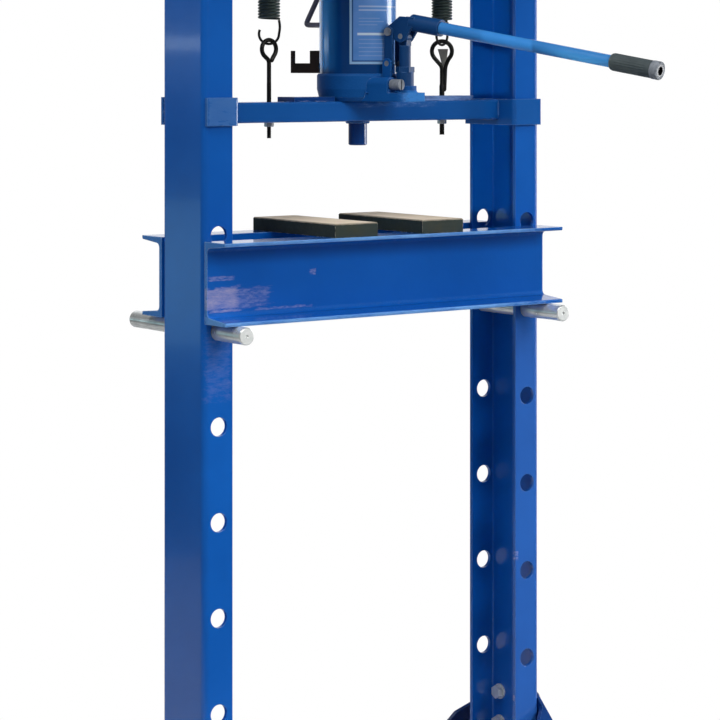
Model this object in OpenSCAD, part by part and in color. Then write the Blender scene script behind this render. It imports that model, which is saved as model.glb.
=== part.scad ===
// Workshop press: an H frame of two bored channel posts, an adjustable bed on
// two pins, and a bottle jack that rides on a sprung platform and pushes
// against the head beam. Millimetres, +Z up. The origin is on the floor, in
// the middle of the frame; +X runs along the bed and -Y is the front.

/* [Frame] */
// Overall width over the backs of both posts
post_span = 616; // [560:2:720]
// Depth of a post, front to back
post_depth = 112; // [100:1:130]
// Width of a post flange
post_flange = 48; // [44:1:52]
// Wall of the folded post
post_wall = 6; // [5:0.5:8]
// Inside fold radius of the post
post_fold_r = 3; // [1:0.5:5]
// Distance from the back of a post to its row of holes
hole_inset = 25; // [24:0.5:28]
// Diameter of the height holes
hole_d = 27; // [26.2:0.1:30]
// Spacing of the height holes
hole_pitch = 135; // [130:1:140]
// Number of height holes below the bed pins
holes_below = 4; // [2:1:4]
// Number of height holes above the bed pins
holes_above = 1; // [1:1:2]
// Height of the holes that the bed pins are in
pin_hole_z = 840; // [820:1:860]

/* [Bed] */
// Height of a bed channel
bed_h = 116; // [104:1:124]
// Flange width of a bed or head channel
beam_flange = 53; // [48:1:60]
// Web thickness of a bed or head channel
beam_web = 6; // [5:0.5:8]
// Flange thickness at the tip
beam_tip_t = 5.5; // [4.5:0.5:7]
// Extra flange thickness at the root
beam_taper = 3.5; // [2:0.5:5]
// Fillet between web and flange
beam_fillet = 7; // [4:0.5:9]
// Gap between the bed webs and the post faces
bed_play = 2; // [1:0.5:4]
// Thickness of the cross plates inside the bed
spacer_t = 8; // [6:1:12]
// Gap between a cross plate and the post beside it
spacer_gap = 3; // [2:0.5:6]
// Distance from the bed's faces to the edge of a cross plate
spacer_drop = 12; // [8:1:20]
// Diameter of a bed pin
pin_d = 25; // [22:0.5:26]
// Length of a bed pin
pin_len = 298; // [284:1:320]
// How far back the left bed pin has been pushed from the middle
pin_push_left = 21; // [-7:1:28]
// How far back the right bed pin has been pushed from the middle
pin_push_right = 7; // [-7:1:28]
// Chamfer on the pin ends
pin_chamfer = 2; // [1:0.5:3]
// Width of a press plate
plate_w = 76; // [60:1:90]
// Length of a press plate
plate_len = 212; // [190:1:220]
// Thickness of a press plate
plate_t = 20; // [15:1:25]
// Gap between the two press plates
plate_gap = 82; // [60:1:100]
// Chamfer round a press plate
plate_chamfer = 1.5; // [0.5:0.5:3]

/* [Head] */
// Height of a head channel
head_h = 116; // [104:1:130]
// Thickness of the thrust plate under the head channels
thrust_t = 16; // [12:1:20]
// Length of the thrust plate along the beam
thrust_w = 150; // [120:1:200]
// Depth of the thrust plate, front to back
thrust_d = 190; // [160:1:210]
// Wall of the cup that holds the jack saddle
cup_wall = 6; // [4:1:8]
// Depth of the saddle cup
cup_h = 8; // [4:1:8]
// Clearance round the saddle in its cup
cup_play = 3; // [2:0.5:4]
// Shank diameter of a head bolt
head_bolt_d = 16; // [14:1:18]
// Height of the lower head bolts above the channel's underside
head_bolt_low = 34; // [30:1:40]
// Vertical spacing of the head bolts
head_bolt_pitch = 48; // [44:1:56]

/* [Feet] */
// Thickness of a foot plate
foot_t = 5; // [4:0.5:8]
// Overall depth of a foot, front to back
foot_depth = 480; // [420:5:560]
// Height of a foot plate
foot_h = 262; // [250:1:280]
// Width of a foot plate at its top edge
foot_top_w = 44; // [40:1:60]
// Height of the upright edge at each end of a foot
foot_end_h = 52; // [40:1:70]
// Width of the folded edges of a foot
foot_fold = 45; // [36:1:50]
// Fall of the folded edge's tapered start against its width
foot_fold_run = 0.77; // [0.6:0.01:1]
// Gap between a post corner and the folded edge
foot_fold_gap = 1.5; // [1:0.5:4]
// Diameter of the floor bolt holes
anchor_d = 14; // [11:1:18]
// Distance from the end of a foot to its floor bolt hole
anchor_inset = 35; // [25:1:50]
// Shank diameter of a foot bolt
foot_bolt_d = 12; // [10:1:14]
// Height of the lower foot bolts
foot_bolt_z = 178; // [170:1:185]
// Vertical spacing of the foot bolts
foot_bolt_pitch = 49; // [44:1:54]
// Distance between the foot bolt columns, front to back
foot_bolt_span = 64; // [56:1:68]
// Washer thickness
washer_t = 2.5; // [1.5:0.5:4]
// Leg of the rear tie angle
tie_leg = 50; // [40:1:60]
// Wall of the rear tie angle
tie_wall = 5; // [4:0.5:7]
// Height of the underside of the rear tie
tie_z = 55; // [30:1:80]
// Shank diameter of a tie bolt
tie_bolt_d = 12; // [10:1:14]

/* [Platform] */
// Height of the jack platform's top face with the jack closed
platform_top = 1162; // [1155:1:1175]
// Thickness of the platform bar
bar_h = 30; // [25:1:36]
// Width of the platform bar, front to back
bar_w = 50; // [44:1:60]
// Corner radius of the platform bar
bar_r = 3; // [1:0.5:5]
// Wall of a guide strap
strap_t = 5; // [4:0.5:6]
// Height of a guide strap
strap_h = 40; // [36:1:50]
// How far a guide strap hangs below the platform bar
strap_drop = 2.5; // [0:0.5:6]
// How much lower the right strap was welded on than the left one
strap_lower_right = 6; // [0:0.5:7]
// Clearance between a guide strap and the post faces
strap_play = 0.8; // [0.5:0.1:2]
// Gap between a guide strap's back and the post flange edges
strap_gap = 3; // [2:0.5:5]
// How far a guide strap's legs stay short of the post's back
strap_short = 2; // [0:0.5:6]
// Outside fold radius of a guide strap
strap_r = 6; // [5:0.5:8]
// Diameter of the ram nose
nose_d = 28; // [24:1:36]
// Length of the ram nose
nose_len = 36; // [25:1:45]
// Weld fillet round the ram nose
nose_weld = 4; // [2:0.5:6]
// Thickness of the plates that keep the jack in place
stop_t = 7; // [5:0.5:9]
// Outer end of the left stop plate
stop_left = 130; // [120:1:150]
// Outer end of the right stop plate
stop_right = 204; // [190:1:230]

/* [Springs] */
// Distance from the jack's axis to each return spring
spring_x = 160; // [150:1:175]
// Outside diameter of a return spring
spring_d = 33; // [28:1:36]
// Wire diameter of a return spring
spring_wire = 3.8; // [3:0.1:4]
// Height of the coil's lower end above the platform bar
coil_rise = 119; // [114:1:126]
// Number of turns in a coil
coil_turns = 40; // [34:1:42]
// Height of the spring rods above the head channels' underside
rod_rise = 62; // [58:1:70]
// Diameter of a spring rod
rod_d = 10; // [8:1:12]
// Bar diameter of an eye bolt's loop
eye_bar = 6.5; // [5.5:0.1:7]
// Middle radius of an eye bolt's loop
eye_r = 14.5; // [13:0.5:17]
// Height of the loop's centre above the platform bar
eye_rise = 76; // [70:1:82]
// Diameter of an eye bolt's shank
eye_shank = 8; // [6:0.5:10]
// How far an eye bolt's shank hangs below the platform bar
eye_tail = 23; // [18:1:30]
// Length of the doubled wire under the loop
eye_lap = 46; // [30:1:50]
// Turn of the left eye about its own axis
eye_turn_left = 5; // [-90:1:90]
// Turn of the right eye about its own axis
eye_turn_right = -36; // [-90:1:90]
// Part of a circle that a hook goes round
hook_sweep = 205; // [190:1:230]
// Turn of the left spring, with its hooks
hook_turn_left = -36; // [-60:1:-20]
// Turn of the right spring, with its hooks
hook_turn_right = 17; // [0:1:40]
// Free gap between a hook and the eye or rod in it
hook_gap = 0.9; // [0.8:0.1:2]

/* [Jack] */
// Turn of the jack about its own axis, pump towards +X
jack_turn = 17; // [0:1:40]
// Outside diameter of the reservoir
res_d = 115; // [112:1:118]
// Wall of the reservoir
res_wall = 3.5; // [2.5:0.5:5]
// Height of the reservoir's top edge above the jack's foot
res_top = 206; // [200:1:208]
// Height of the base casting round the reservoir
base_h = 41; // [38:1:46]
// How far the base casting stands out round the reservoir
base_lip = 3.5; // [2:0.5:5]
// Thickness of the floor of the base casting
base_floor = 20; // [18:1:22]
// Thickness of the base's front foot
toe_h = 13; // [10:1:16]
// Half-width of the base's front foot on the valve's side
toe_near = 40; // [38:1:45]
// Half-width of the base's front foot on the far side
toe_far = 27; // [24:1:40]
// Reach of the base's front foot from the jack's axis
toe_reach = 108; // [104:1:116]
// Outside diameter of the pressure cylinder
cyl_d = 68; // [62:1:74]
// Bore of the pressure cylinder
cyl_bore = 50; // [46:1:54]
// Running clearance of sliding fits, on radius
fit_play = 0.05; // [0.02:0.01:0.09]
// Diameter of the jack's ram
ram_d = 40; // [34:1:44]
// Height of the piston
piston_h = 20; // [14:1:24]
// Height of the piston seal
seal_h = 6; // [4:1:8]
// Gap between the piston and the floor of the cylinder
piston_gap = 3; // [1:0.5:5]
// Diameter of the saddle on the ram
saddle_d = 48; // [44:1:52]
// Height of the saddle
saddle_h = 9; // [6:1:12]
// Height of the closed jack, foot to saddle
jack_h = 244.7; // [240:0.1:250]
// Gap between the saddle and the thrust plate
saddle_gap = 0.3; // [0.2:0.1:0.5]
// Thickness of the top cap's rim
cap_rim = 11; // [8:1:14]
// Height of the hexagon on the top cap
cap_hex_h = 13; // [9:1:14]
// Across flats of the top cap's hexagon
cap_hex_af = 60; // [54:1:64]
// Length of the label panel round the reservoir, in degrees
label_arc = 96; // [60:1:110]
// Diameter of the rubber filler plug
filler_d = 10; // [8:1:12]
// Height of the filler plug above the jack's foot
filler_z = 152; // [145:1:160]
// Height of the label panel
label_h = 120; // [90:1:130]
// Height of the label panel's lower edge above the jack's foot
label_z = 55; // [52:1:60]
// Thickness of the label panel
label_t = 0.4; // [0.3:0.1:0.8]

/* [Pump] */
// Distance from the jack's axis to the fulcrum pin
fulcrum_r = 68; // [67:0.5:70]
// Lever arm from the fulcrum pin to the pump plunger
lever_arm = 20; // [19:0.5:22]
// Dip of the lever arm at the low stop, in degrees
lever_dip = 20; // [15:1:22]
// Swing of the lever, in degrees
lever_swing = 40; // [30:1:42]
// Height of the plunger's pin above the jack's foot, handle down
plunger_pin_z = 96; // [94:1:100]
// Outside diameter of the pump barrel
barrel_d = 26; // [24:0.5:26]
// Height of the pump barrel's top above the jack's foot
barrel_top = 51; // [46:1:56]
// Diameter of the pump plunger
plunger_d = 17; // [15:0.5:17]
// Thickness of the plunger's eye
plunger_eye_t = 12; // [10:0.5:14]
// Diameter of the lever's two pins
link_pin_d = 8; // [7:0.5:8.5]
// Side clearance between the lever's stacked plates
stack_play = 0.3; // [0.3:0.1:0.5]
// Thickness of a fork plate of the handle socket
fork_t = 5; // [4:0.5:6]
// Thickness of a link plate
link_t = 4; // [3:0.5:5]
// Width of a link plate
link_w = 15; // [14:0.5:16]
// Height of the link plates' lower pin above the jack's foot
link_low_z = 56; // [54:1:62]
// Slope of the handle below level at the low stop, in degrees
handle_slope = 9.6; // [6:0.1:14]
// Height of the handle's axis over the plunger's axis
handle_z = 118.5; // [117:0.1:121]
// Outside diameter of the handle socket
socket_d = 25; // [24:0.5:27]
// Reach of the handle socket's mouth from the jack's axis
socket_reach = 153; // [140:1:170]
// Diameter of the handle bar
bar_d = 18; // [16:0.5:19]
// Wall of the handle bar
bar_wall = 3; // [2:0.5:4]
// Reach of the handle bar's end from the jack's axis
bar_reach = 519; // [460:1:600]
// Diameter of the grip
grip_d = 25; // [23:0.5:28]
// Length of the grip
grip_len = 66; // [50:1:100]
// Length of the metal ring on the handle's end
ring_len = 12; // [8:1:16]
// Diameter of the metal ring
ring_d = 26; // [24:0.5:30]
// Offset of the release valve from the pump, sideways
valve_x = 29; // [28:0.5:31]
// Height of the release valve above the jack's foot
valve_z = 25; // [24:0.5:27]
// Diameter of the release valve's stem
valve_d = 10; // [8:0.5:11]

/* [Fittings] */
// Bar diameter of the carry handle
carry_d = 8; // [6:0.5:10]
// Reach of the carry handle from the jack's axis
carry_reach = 100; // [92:1:115]
// Size of the carry handle's corner against its bar
carry_knuckle = 1.06; // [1.03:0.01:1.2]
// Height of the carry handle's level leg
carry_low = 114; // [108:1:120]
// Height of the carry handle's upper end
carry_high = 190; // [170:1:195]
// Thickness of the handle rest
rest_t = 5; // [4:0.5:8]
// Reach of the handle rest from the jack's axis
rest_reach = 126; // [115:1:140]
// Width of the slot in the handle rest
rest_slot = 32; // [26:1:34]
// Width of the handle rest's outer prong
rest_prong = 5; // [4:0.5:8]
// Height of the handle rest's top edge above the jack's foot
rest_top = 75; // [74:1:90]
// Height of the handle rest's floor
rest_bar = 15; // [10:1:18]

/* [Hidden] */
$fn = 64;

blue = [0.09, 0.30, 0.62];
deep_blue = [0.05, 0.17, 0.38];
zinc = [0.75, 0.76, 0.78];
black = [0.10, 0.09, 0.09];

post_x = post_span / 2;
hole_x = post_x - hole_inset;
mouth_x = post_x - post_flange;
half_d = post_depth / 2;

// a pin lies on the bottom of its holes, and the bed lies on the pins
pin_z = pin_hole_z - (hole_d - pin_d) / 2;
bed_z = pin_z + pin_d / 2;
bed_top = bed_z + bed_h;
bed_web_y = half_d + bed_play;

thrust_z = platform_top + jack_h + saddle_gap;
head_z = thrust_z + thrust_t;
post_top = head_z + head_h;

foot_slope = atan2(foot_h - foot_end_h, (foot_depth - foot_top_w) / 2);

bar_z = platform_top - bar_h;
strap_x = mouth_x - strap_gap;
bar_half = strap_x - strap_t;
strap_y = half_d + strap_play;
strap_z = bar_z - strap_drop;

coil_r = (spring_d - spring_wire) / 2;
coil_low = platform_top + coil_rise;
end_play = 0.6;
rod_z = head_z + rod_rise;
coil_high = rod_z - rod_d / 2 - hook_gap - spring_wire - 14;
eye_z = platform_top + eye_rise;
hook_low_z = eye_z + eye_r - eye_bar / 2 - hook_gap - spring_wire / 2;

base_r = res_d / 2 + base_lip;
cyl_low = base_floor;
piston_z = cyl_low + piston_gap;
rod_low = piston_z + piston_h;
saddle_z = jack_h - saddle_h;
plunger_x = fulcrum_r + lever_arm * (1 + cos(lever_dip)) / 2;
fulcrum_z = plunger_pin_z + lever_arm * sin(lever_dip);
pin_rest_x = fulcrum_r + lever_arm * cos(lever_dip);
eye_slot_r = link_pin_d / 2 + lever_arm * (1 - cos(lever_dip)) / 2 + 0.35;
fork_in = plunger_eye_t / 2 + stack_play;
fork_out = fork_in + fork_t;
link_in = fork_out + stack_play;
link_out = link_in + link_t;
lug_r = link_pin_d / 2 + 5;
ball_d = 8;

// ---- shared shapes ----

function arc_points(cx, cy, r, a0, a1, n = 6) =
  [for (i = [0:n]) [cx + r * cos(a0 + (a1 - a0) * i / n),
                    cy + r * sin(a0 + (a1 - a0) * i / n)]];

// rounded rectangle from (x0, y0) to (x1, y1)
module round_rect(x0, y0, x1, y1, r) {
  polygon(concat(
    arc_points(x0 + r, y0 + r, r, 180, 270),
    arc_points(x1 - r, y0 + r, r, 270, 360),
    arc_points(x1 - r, y1 - r, r, 0, 90),
    arc_points(x0 + r, y1 - r, r, 90, 180)));
}

// rolled channel section: web on x = 0, flanges towards +x, feet at y = 0
module channel_section(h) {
  root_t = beam_tip_t + beam_taper;
  toe = 2.5;
  half = concat(
    [[0, 0]],
    [[beam_flange, 0]],
    [[beam_flange, beam_tip_t - toe]],
    arc_points(beam_flange - toe, beam_tip_t - toe, toe, 20, 85, 4),
    [for (p = arc_points(beam_web + beam_fillet, root_t + beam_fillet,
                         beam_fillet, 265, 180, 6)) p]);
  polygon(concat(half, [for (i = [len(half) - 1:-1:0]) [half[i][0], h - half[i][1]]]));
}

// channel along X with its web at y = web_y and its flanges towards -y
module beam(len, web_y, z, h) {
  translate([-len / 2, web_y, z]) rotate([90, 0, 90])
    linear_extrude(height = len) mirror([1, 0]) channel_section(h);
}

// hexagon prism along Z
module hexagon(af, h) { cylinder(d = af / cos(30), h = h, $fn = 6); }

// bolt along +Z from the underside of its head at z = 0
module bolt(d, len) {
  translate([0, 0, -0.65 * d]) intersection() {
    hexagon(1.55 * d, 0.65 * d);
    translate([0, 0, -0.05 * d]) cylinder(r1 = 0.68 * d, r2 = 1.1 * d, h = 0.72 * d);
  }
  cylinder(d = d, h = len - d * 0.1);
  translate([0, 0, len - d * 0.1]) cylinder(d1 = d, d2 = 0.8 * d, h = d * 0.1);
}

// nut along +Z from z = 0, on a shank of diameter d
module nut(d) {
  difference() {
    intersection() {
      hexagon(1.55 * d, 0.8 * d);
      cylinder(r1 = 1.0 * d, r2 = 0.84 * d, h = 0.81 * d);
    }
    translate([0, 0, -1]) cylinder(d = d, h = d + 2);
  }
}

// ---- frame ----

head_bolt_zs = [head_z + head_bolt_low, head_z + head_bolt_low + head_bolt_pitch];
foot_bolt_yz = [for (y = [-foot_bolt_span / 2, foot_bolt_span / 2],
                     z = [foot_bolt_z, foot_bolt_z + foot_bolt_pitch]) [y, z]];
head_hole_d = head_bolt_d + 1;
foot_hole_d = foot_bolt_d + 1;
tie_hole_d = tie_bolt_d + 1;
tie_bolt_z = tie_z + (tie_leg + tie_wall) / 2;

module post_section() {
  ro = post_fold_r + post_wall;
  ri = post_fold_r;
  a = half_d;
  b = half_d - post_wall;
  polygon(concat(
    [[mouth_x, -a]],
    arc_points(post_x - ro, -a + ro, ro, 270, 360),
    arc_points(post_x - ro, a - ro, ro, 0, 90),
    [[mouth_x, a], [mouth_x, b]],
    arc_points(post_x - post_wall - ri, b - ri, ri, 90, 0),
    arc_points(post_x - post_wall - ri, -b + ri, ri, 0, -90),
    [[mouth_x, -b]]));
}

module post() {
  difference() {
    translate([0, 0, foot_t]) linear_extrude(height = post_top - foot_t) post_section();
    for (k = [-holes_below:holes_above])
      translate([hole_x, 0, pin_hole_z + k * hole_pitch]) rotate([90, 0, 0])
        cylinder(d = hole_d, h = post_depth + 2, center = true);
    for (z = head_bolt_zs)
      translate([hole_x, 0, z]) rotate([90, 0, 0])
        cylinder(d = head_hole_d, h = post_depth + 2, center = true);
    for (p = foot_bolt_yz)
      translate([post_x - post_wall - 1, p[0], p[1]]) rotate([0, 90, 0])
        cylinder(d = foot_hole_d, h = post_wall + 2);
    translate([hole_x, half_d - post_wall - 1, tie_bolt_z]) rotate([-90, 0, 0])
      cylinder(d = tie_hole_d, h = post_wall + 2);
  }
}

module right_post() { color(blue) post(); }
module left_post() { color(blue) mirror([1, 0, 0]) post(); }

module head_channel() {
  difference() {
    beam(post_span, -half_d, head_z, head_h);
    for (sx = [-1, 1], z = head_bolt_zs)
      translate([sx * hole_x, -half_d + 1, z]) rotate([90, 0, 0])
        cylinder(d = head_hole_d, h = beam_web + 2);
    for (sx = [-1, 1])
      translate([sx * spring_x, -half_d + 1, rod_z]) rotate([90, 0, 0])
        cylinder(d = rod_d, h = beam_web + 2);
  }
}
module head_front_channel() { color(blue) head_channel(); }
module head_rear_channel() { color(blue) mirror([0, 1, 0]) head_channel(); }

module head_thrust_plate() {
  r = saddle_d / 2 + cup_play;
  color(blue) {
    translate([0, 0, thrust_z]) linear_extrude(height = thrust_t)
      round_rect(-thrust_w / 2, -thrust_d / 2, thrust_w / 2, thrust_d / 2, 4);
    translate([0, 0, thrust_z - cup_h]) difference() {
      cylinder(r = r + cup_wall, h = cup_h);
      translate([0, 0, -1]) cylinder(r = r, h = cup_h + 1);
    }
  }
}

module at_head_bolts() {
  for (sx = [-1, 1], sy = [-1, 1], z = head_bolt_zs)
    translate([sx * hole_x, sy * (half_d + beam_web), z])
      rotate([sy > 0 ? 90 : -90, 0, 0]) children();
}
head_grip = beam_web + post_wall;
module head_bolts() { color(zinc) at_head_bolts() bolt(head_bolt_d, head_grip + head_bolt_d); }
module head_nuts() { color(zinc) at_head_bolts() translate([0, 0, head_grip]) nut(head_bolt_d); }

// strips along both sloping edges of a foot, as seen from the side
module foot_edge_strips() {
  hd = foot_depth / 2;
  hw = foot_top_w / 2;
  drop = foot_t / cos(foot_slope);
  for (m = [0, 1]) mirror([m, 0]) polygon([[hw, foot_h], [hd, foot_end_h],
    [hd, foot_end_h - drop], [hw, foot_h - drop]]);
}

// folded edges: they start beside the post and widen as they go down
module foot_folds() {
  start_z = foot_h - foot_t / cos(foot_slope)
    - (half_d + foot_fold_gap - foot_top_w / 2) * tan(foot_slope);
  x0 = post_x - foot_fold;
  difference() {
    translate([x0, 0, 0]) rotate([90, 0, 90])
      linear_extrude(height = foot_fold + foot_t) foot_edge_strips();
    translate([0, foot_depth, 0]) rotate([90, 0, 0]) linear_extrude(height = 2 * foot_depth)
      polygon([[post_x, start_z], [x0 - 1, start_z - foot_fold * foot_fold_run],
               [x0 - 1, foot_h + 1], [post_x, foot_h + 1]]);
  }
}

module foot() {
  hd = foot_depth / 2;
  hw = foot_top_w / 2;
  difference() {
    union() {
      translate([post_x, 0, 0]) rotate([90, 0, 90]) linear_extrude(height = foot_t)
        polygon([[-hd, 0], [hd, 0], [hd, foot_end_h], [hw, foot_h],
                 [-hw, foot_h], [-hd, foot_end_h]]);
      foot_folds();
      translate([post_x - foot_fold, -hd, 0]) cube([foot_fold + foot_t, foot_depth, foot_t]);
    }
    for (p = foot_bolt_yz)
      translate([post_x - 1, p[0], p[1]]) rotate([0, 90, 0])
        cylinder(d = foot_hole_d, h = foot_t + 2);
    for (sy = [-1, 1])
      translate([hole_x, sy * (hd - anchor_inset), -1]) cylinder(d = anchor_d, h = foot_t + 2);
  }
}
module right_foot() { color(deep_blue) foot(); }
module left_foot() { color(deep_blue) mirror([1, 0, 0]) foot(); }

module at_foot_bolts() {
  for (m = [0, 1]) mirror([m, 0, 0]) for (p = foot_bolt_yz)
    translate([post_x - post_wall, p[0], p[1]]) rotate([0, 90, 0]) children();
}
foot_grip = post_wall + foot_t;
module foot_bolts() { color(zinc) at_foot_bolts() translate([0, 0, -washer_t])
  bolt(foot_bolt_d, foot_grip + washer_t + foot_bolt_d); }
module foot_washers() {
  color(zinc) at_foot_bolts() translate([0, 0, -washer_t]) difference() {
    cylinder(d = 2 * foot_bolt_d, h = washer_t);
    translate([0, 0, -1]) cylinder(d = foot_bolt_d, h = washer_t + 2);
  }
}
module foot_nuts() { color(zinc) at_foot_bolts() translate([0, 0, foot_grip]) nut(foot_bolt_d); }

module rear_tie() {
  color(blue) difference() {
    translate([-post_x, half_d, tie_z]) union() {
      cube([post_span, tie_wall, tie_leg]);
      cube([post_span, tie_leg, tie_wall]);
    }
    for (sx = [-1, 1]) translate([sx * hole_x, half_d - 1, tie_bolt_z])
      rotate([-90, 0, 0]) cylinder(d = tie_hole_d, h = tie_wall + 2);
  }
}
module at_tie_bolts() {
  for (sx = [-1, 1]) translate([sx * hole_x, half_d + tie_wall, tie_bolt_z])
    rotate([90, 0, 0]) children();
}
tie_grip = tie_wall + post_wall;
module tie_bolts() { color(zinc) at_tie_bolts() bolt(tie_bolt_d, tie_grip + tie_bolt_d); }
module tie_nuts() { color(zinc) at_tie_bolts() translate([0, 0, tie_grip]) nut(tie_bolt_d); }

// ---- bed ----

module bed_front_channel() { color(blue) beam(post_span, -bed_web_y, bed_z, bed_h); }
module bed_rear_channel() { color(blue) mirror([0, 1, 0]) beam(post_span, -bed_web_y, bed_z, bed_h); }
module bed_cross_plates() {
  color(blue) for (sx = [-1, 1])
    translate([sx * (mouth_x - spacer_gap - spacer_t / 2) - spacer_t / 2, -bed_web_y, bed_z + spacer_drop])
      cube([spacer_t, 2 * bed_web_y, bed_h - 2 * spacer_drop]);
}
module bed_pin() {
  rotate([90, 0, 0]) rotate_extrude() polygon([
    [0, -pin_len / 2], [pin_d / 2 - pin_chamfer, -pin_len / 2],
    [pin_d / 2, -pin_len / 2 + pin_chamfer], [pin_d / 2, pin_len / 2 - pin_chamfer],
    [pin_d / 2 - pin_chamfer, pin_len / 2], [0, pin_len / 2]]);
}
module bed_pin_left() { color(zinc) translate([-hole_x, pin_push_left, pin_z]) bed_pin(); }
module bed_pin_right() { color(zinc) translate([hole_x, pin_push_right, pin_z]) bed_pin(); }
module press_plate() {
  c = plate_chamfer;
  translate([plate_gap / 2, -plate_len / 2, bed_top]) difference() {
    cube([plate_w, plate_len, plate_t]);
    for (x = [0, plate_w]) translate([x, -1, plate_t]) rotate([0, 45, 0])
      translate([-c / sqrt(2), 0, -c / sqrt(2)]) cube([c * sqrt(2), plate_len + 2, c * sqrt(2)]);
    for (y = [0, plate_len]) translate([-1, y, plate_t]) rotate([45, 0, 0])
      translate([0, -c / sqrt(2), -c / sqrt(2)]) cube([plate_w + 2, c * sqrt(2), c * sqrt(2)]);
  }
}
module press_plate_right() { color([0.36, 0.33, 0.27]) press_plate(); }
module press_plate_left() { color([0.36, 0.33, 0.27]) mirror([1, 0, 0]) press_plate(); }

// ---- springs ----

rod_out = half_d + beam_web;
module spring_rods() {
  color(zinc) for (sx = [-1, 1]) translate([sx * spring_x, -rod_out, rod_z]) rotate([-90, 0, 0]) {
    translate([0, 0, -5]) cylinder(d = rod_d * 1.8, h = 5);
    cylinder(d = rod_d, h = 2 * rod_out + rod_d);
  }
}
module spring_rod_nuts() {
  color(zinc) for (sx = [-1, 1]) translate([sx * spring_x, rod_out, rod_z]) rotate([-90, 0, 0]) nut(rod_d);
}

// coil spring between two heights: rings of a six-sided wire along a helix
module coil(z0, z1) {
  seg = 12;
  side = 6;
  w = spring_wire / 2;
  n = coil_turns * seg;
  rise = (z1 - z0 - spring_wire) / n;
  points = [for (i = [0:n], j = [0:side - 1])
    let (a = 360 * i / seg, b = 360 * j / side, r = coil_r + w * cos(b))
      [r * cos(a), r * sin(a), z0 + w + rise * i + w * sin(b)]];
  faces = concat(
    [[for (j = [0:side - 1]) j]],
    [for (i = [0:n - 1], j = [0:side - 1])
      [i * side + j, (i + 1) * side + j, (i + 1) * side + (j + 1) % side, i * side + (j + 1) % side]],
    [[for (j = [side - 1:-1:0]) n * side + j]]);
  polyhedron(points = points, faces = faces);
}
module spring_left() {
  color(black) translate([-spring_x, 0, 0]) rotate([0, 0, hook_turn_left]) coil(coil_low, coil_high);
}
module spring_right() {
  color(black) translate([spring_x, 0, 0]) rotate([0, 0, hook_turn_right]) coil(coil_low, coil_high);
}

// straight round bar from one point to another
module bar_between(a, b, d) {
  v = b - a;
  translate(a) rotate([0, acos(v[2] / norm(v)), atan2(v[1], v[0])])
    cylinder(d = d, h = norm(v));
}

// hook of spring wire: an open loop about the y axis at the origin, and a
// straight leg that rises to the coil's first ring
module wire_hook(leg) {
  rotate([90, 0, 0]) rotate_extrude(angle = -hook_sweep, $fn = 64)
    translate([coil_r, 0]) circle(d = spring_wire, $fn = 24);
  translate([coil_r, 0, 0]) cylinder(d = spring_wire, h = leg);
}
// the spring's end, bent out as wide as the coil
module at_springs() {
  translate([-spring_x, 0, 0]) rotate([0, 0, hook_turn_left]) children();
  translate([spring_x, 0, 0]) rotate([0, 0, hook_turn_right]) children();
}
module lower_spring_hooks() {
  z = hook_low_z + coil_r;
  color(black) at_springs() translate([0, 0, z]) wire_hook(coil_low - z - end_play);
}
module upper_spring_hooks() {
  z = rod_z + rod_d / 2 + hook_gap + spring_wire / 2 - coil_r;
  color(black) at_springs() translate([0, 0, z]) mirror([0, 0, 1]) wire_hook(z - coil_high);
}
module eye_bolt(turn) {
  z = eye_rise;
  rotate([0, 0, turn]) {
    translate([0, 0, z]) rotate([90, 0, 0]) rotate_extrude()
      translate([eye_r, 0]) circle(d = eye_bar, $fn = 32);
    translate([0, 0, -bar_h - eye_tail]) cylinder(d = eye_shank, h = bar_h + eye_tail + z - eye_r);
    bar_between([1.0, 0, z - eye_r - eye_lap], [eye_bar * 0.7, 0, z - eye_r], eye_bar);
  }
}
module eye_bolt_left() { color(black) translate([-spring_x, 0, platform_top]) eye_bolt(eye_turn_left); }
module eye_bolt_right() { color(black) translate([spring_x, 0, platform_top]) eye_bolt(eye_turn_right); }
module eye_nuts() {
  color(zinc) for (sx = [-1, 1]) translate([sx * spring_x, 0, bar_z]) mirror([0, 0, 1]) nut(eye_shank);
}

// ---- platform ----

module eye_holes(z, h) {
  for (sx = [-1, 1]) translate([sx * spring_x, 0, z]) cylinder(d = eye_shank + 1, h = h);
}
module platform_bar() {
  color(blue) difference() {
    translate([-bar_half, 0, bar_z]) rotate([90, 0, 90]) linear_extrude(height = 2 * bar_half)
      round_rect(-bar_w / 2, 0, bar_w / 2, bar_h, bar_r);
    eye_holes(bar_z - 1, bar_h + 2);
  }
}
module strap() {
  x0 = strap_x - strap_t;
  x1 = post_x - strap_short;
  yo = strap_y + strap_t;
  ri = strap_r - strap_t;
  translate([0, 0, strap_z]) linear_extrude(height = strap_h) polygon(concat(
    arc_points(x0 + strap_r, -yo + strap_r, strap_r, 180, 270),
    [[x1, -yo], [x1, -strap_y]],
    arc_points(x0 + strap_r, -strap_y + ri, ri, 270, 180),
    arc_points(x0 + strap_r, strap_y - ri, ri, 180, 90),
    [[x1, strap_y], [x1, yo]],
    arc_points(x0 + strap_r, yo - strap_r, strap_r, 90, 180)));
}
module guide_strap_right() { color(blue) translate([0, 0, -strap_lower_right]) strap(); }
module guide_strap_left() { color(blue) mirror([1, 0, 0]) strap(); }
module ram_nose() {
  r = nose_d / 2;
  color(blue) translate([0, 0, bar_z]) rotate_extrude() polygon([
    [0, 0], [r + nose_weld, 0], [r + 0.3 * nose_weld, -0.3 * nose_weld], [r, -nose_weld],
    [r, 1.5 - nose_len], [r - 1.5, -nose_len], [0, -nose_len]]);
}
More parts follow.
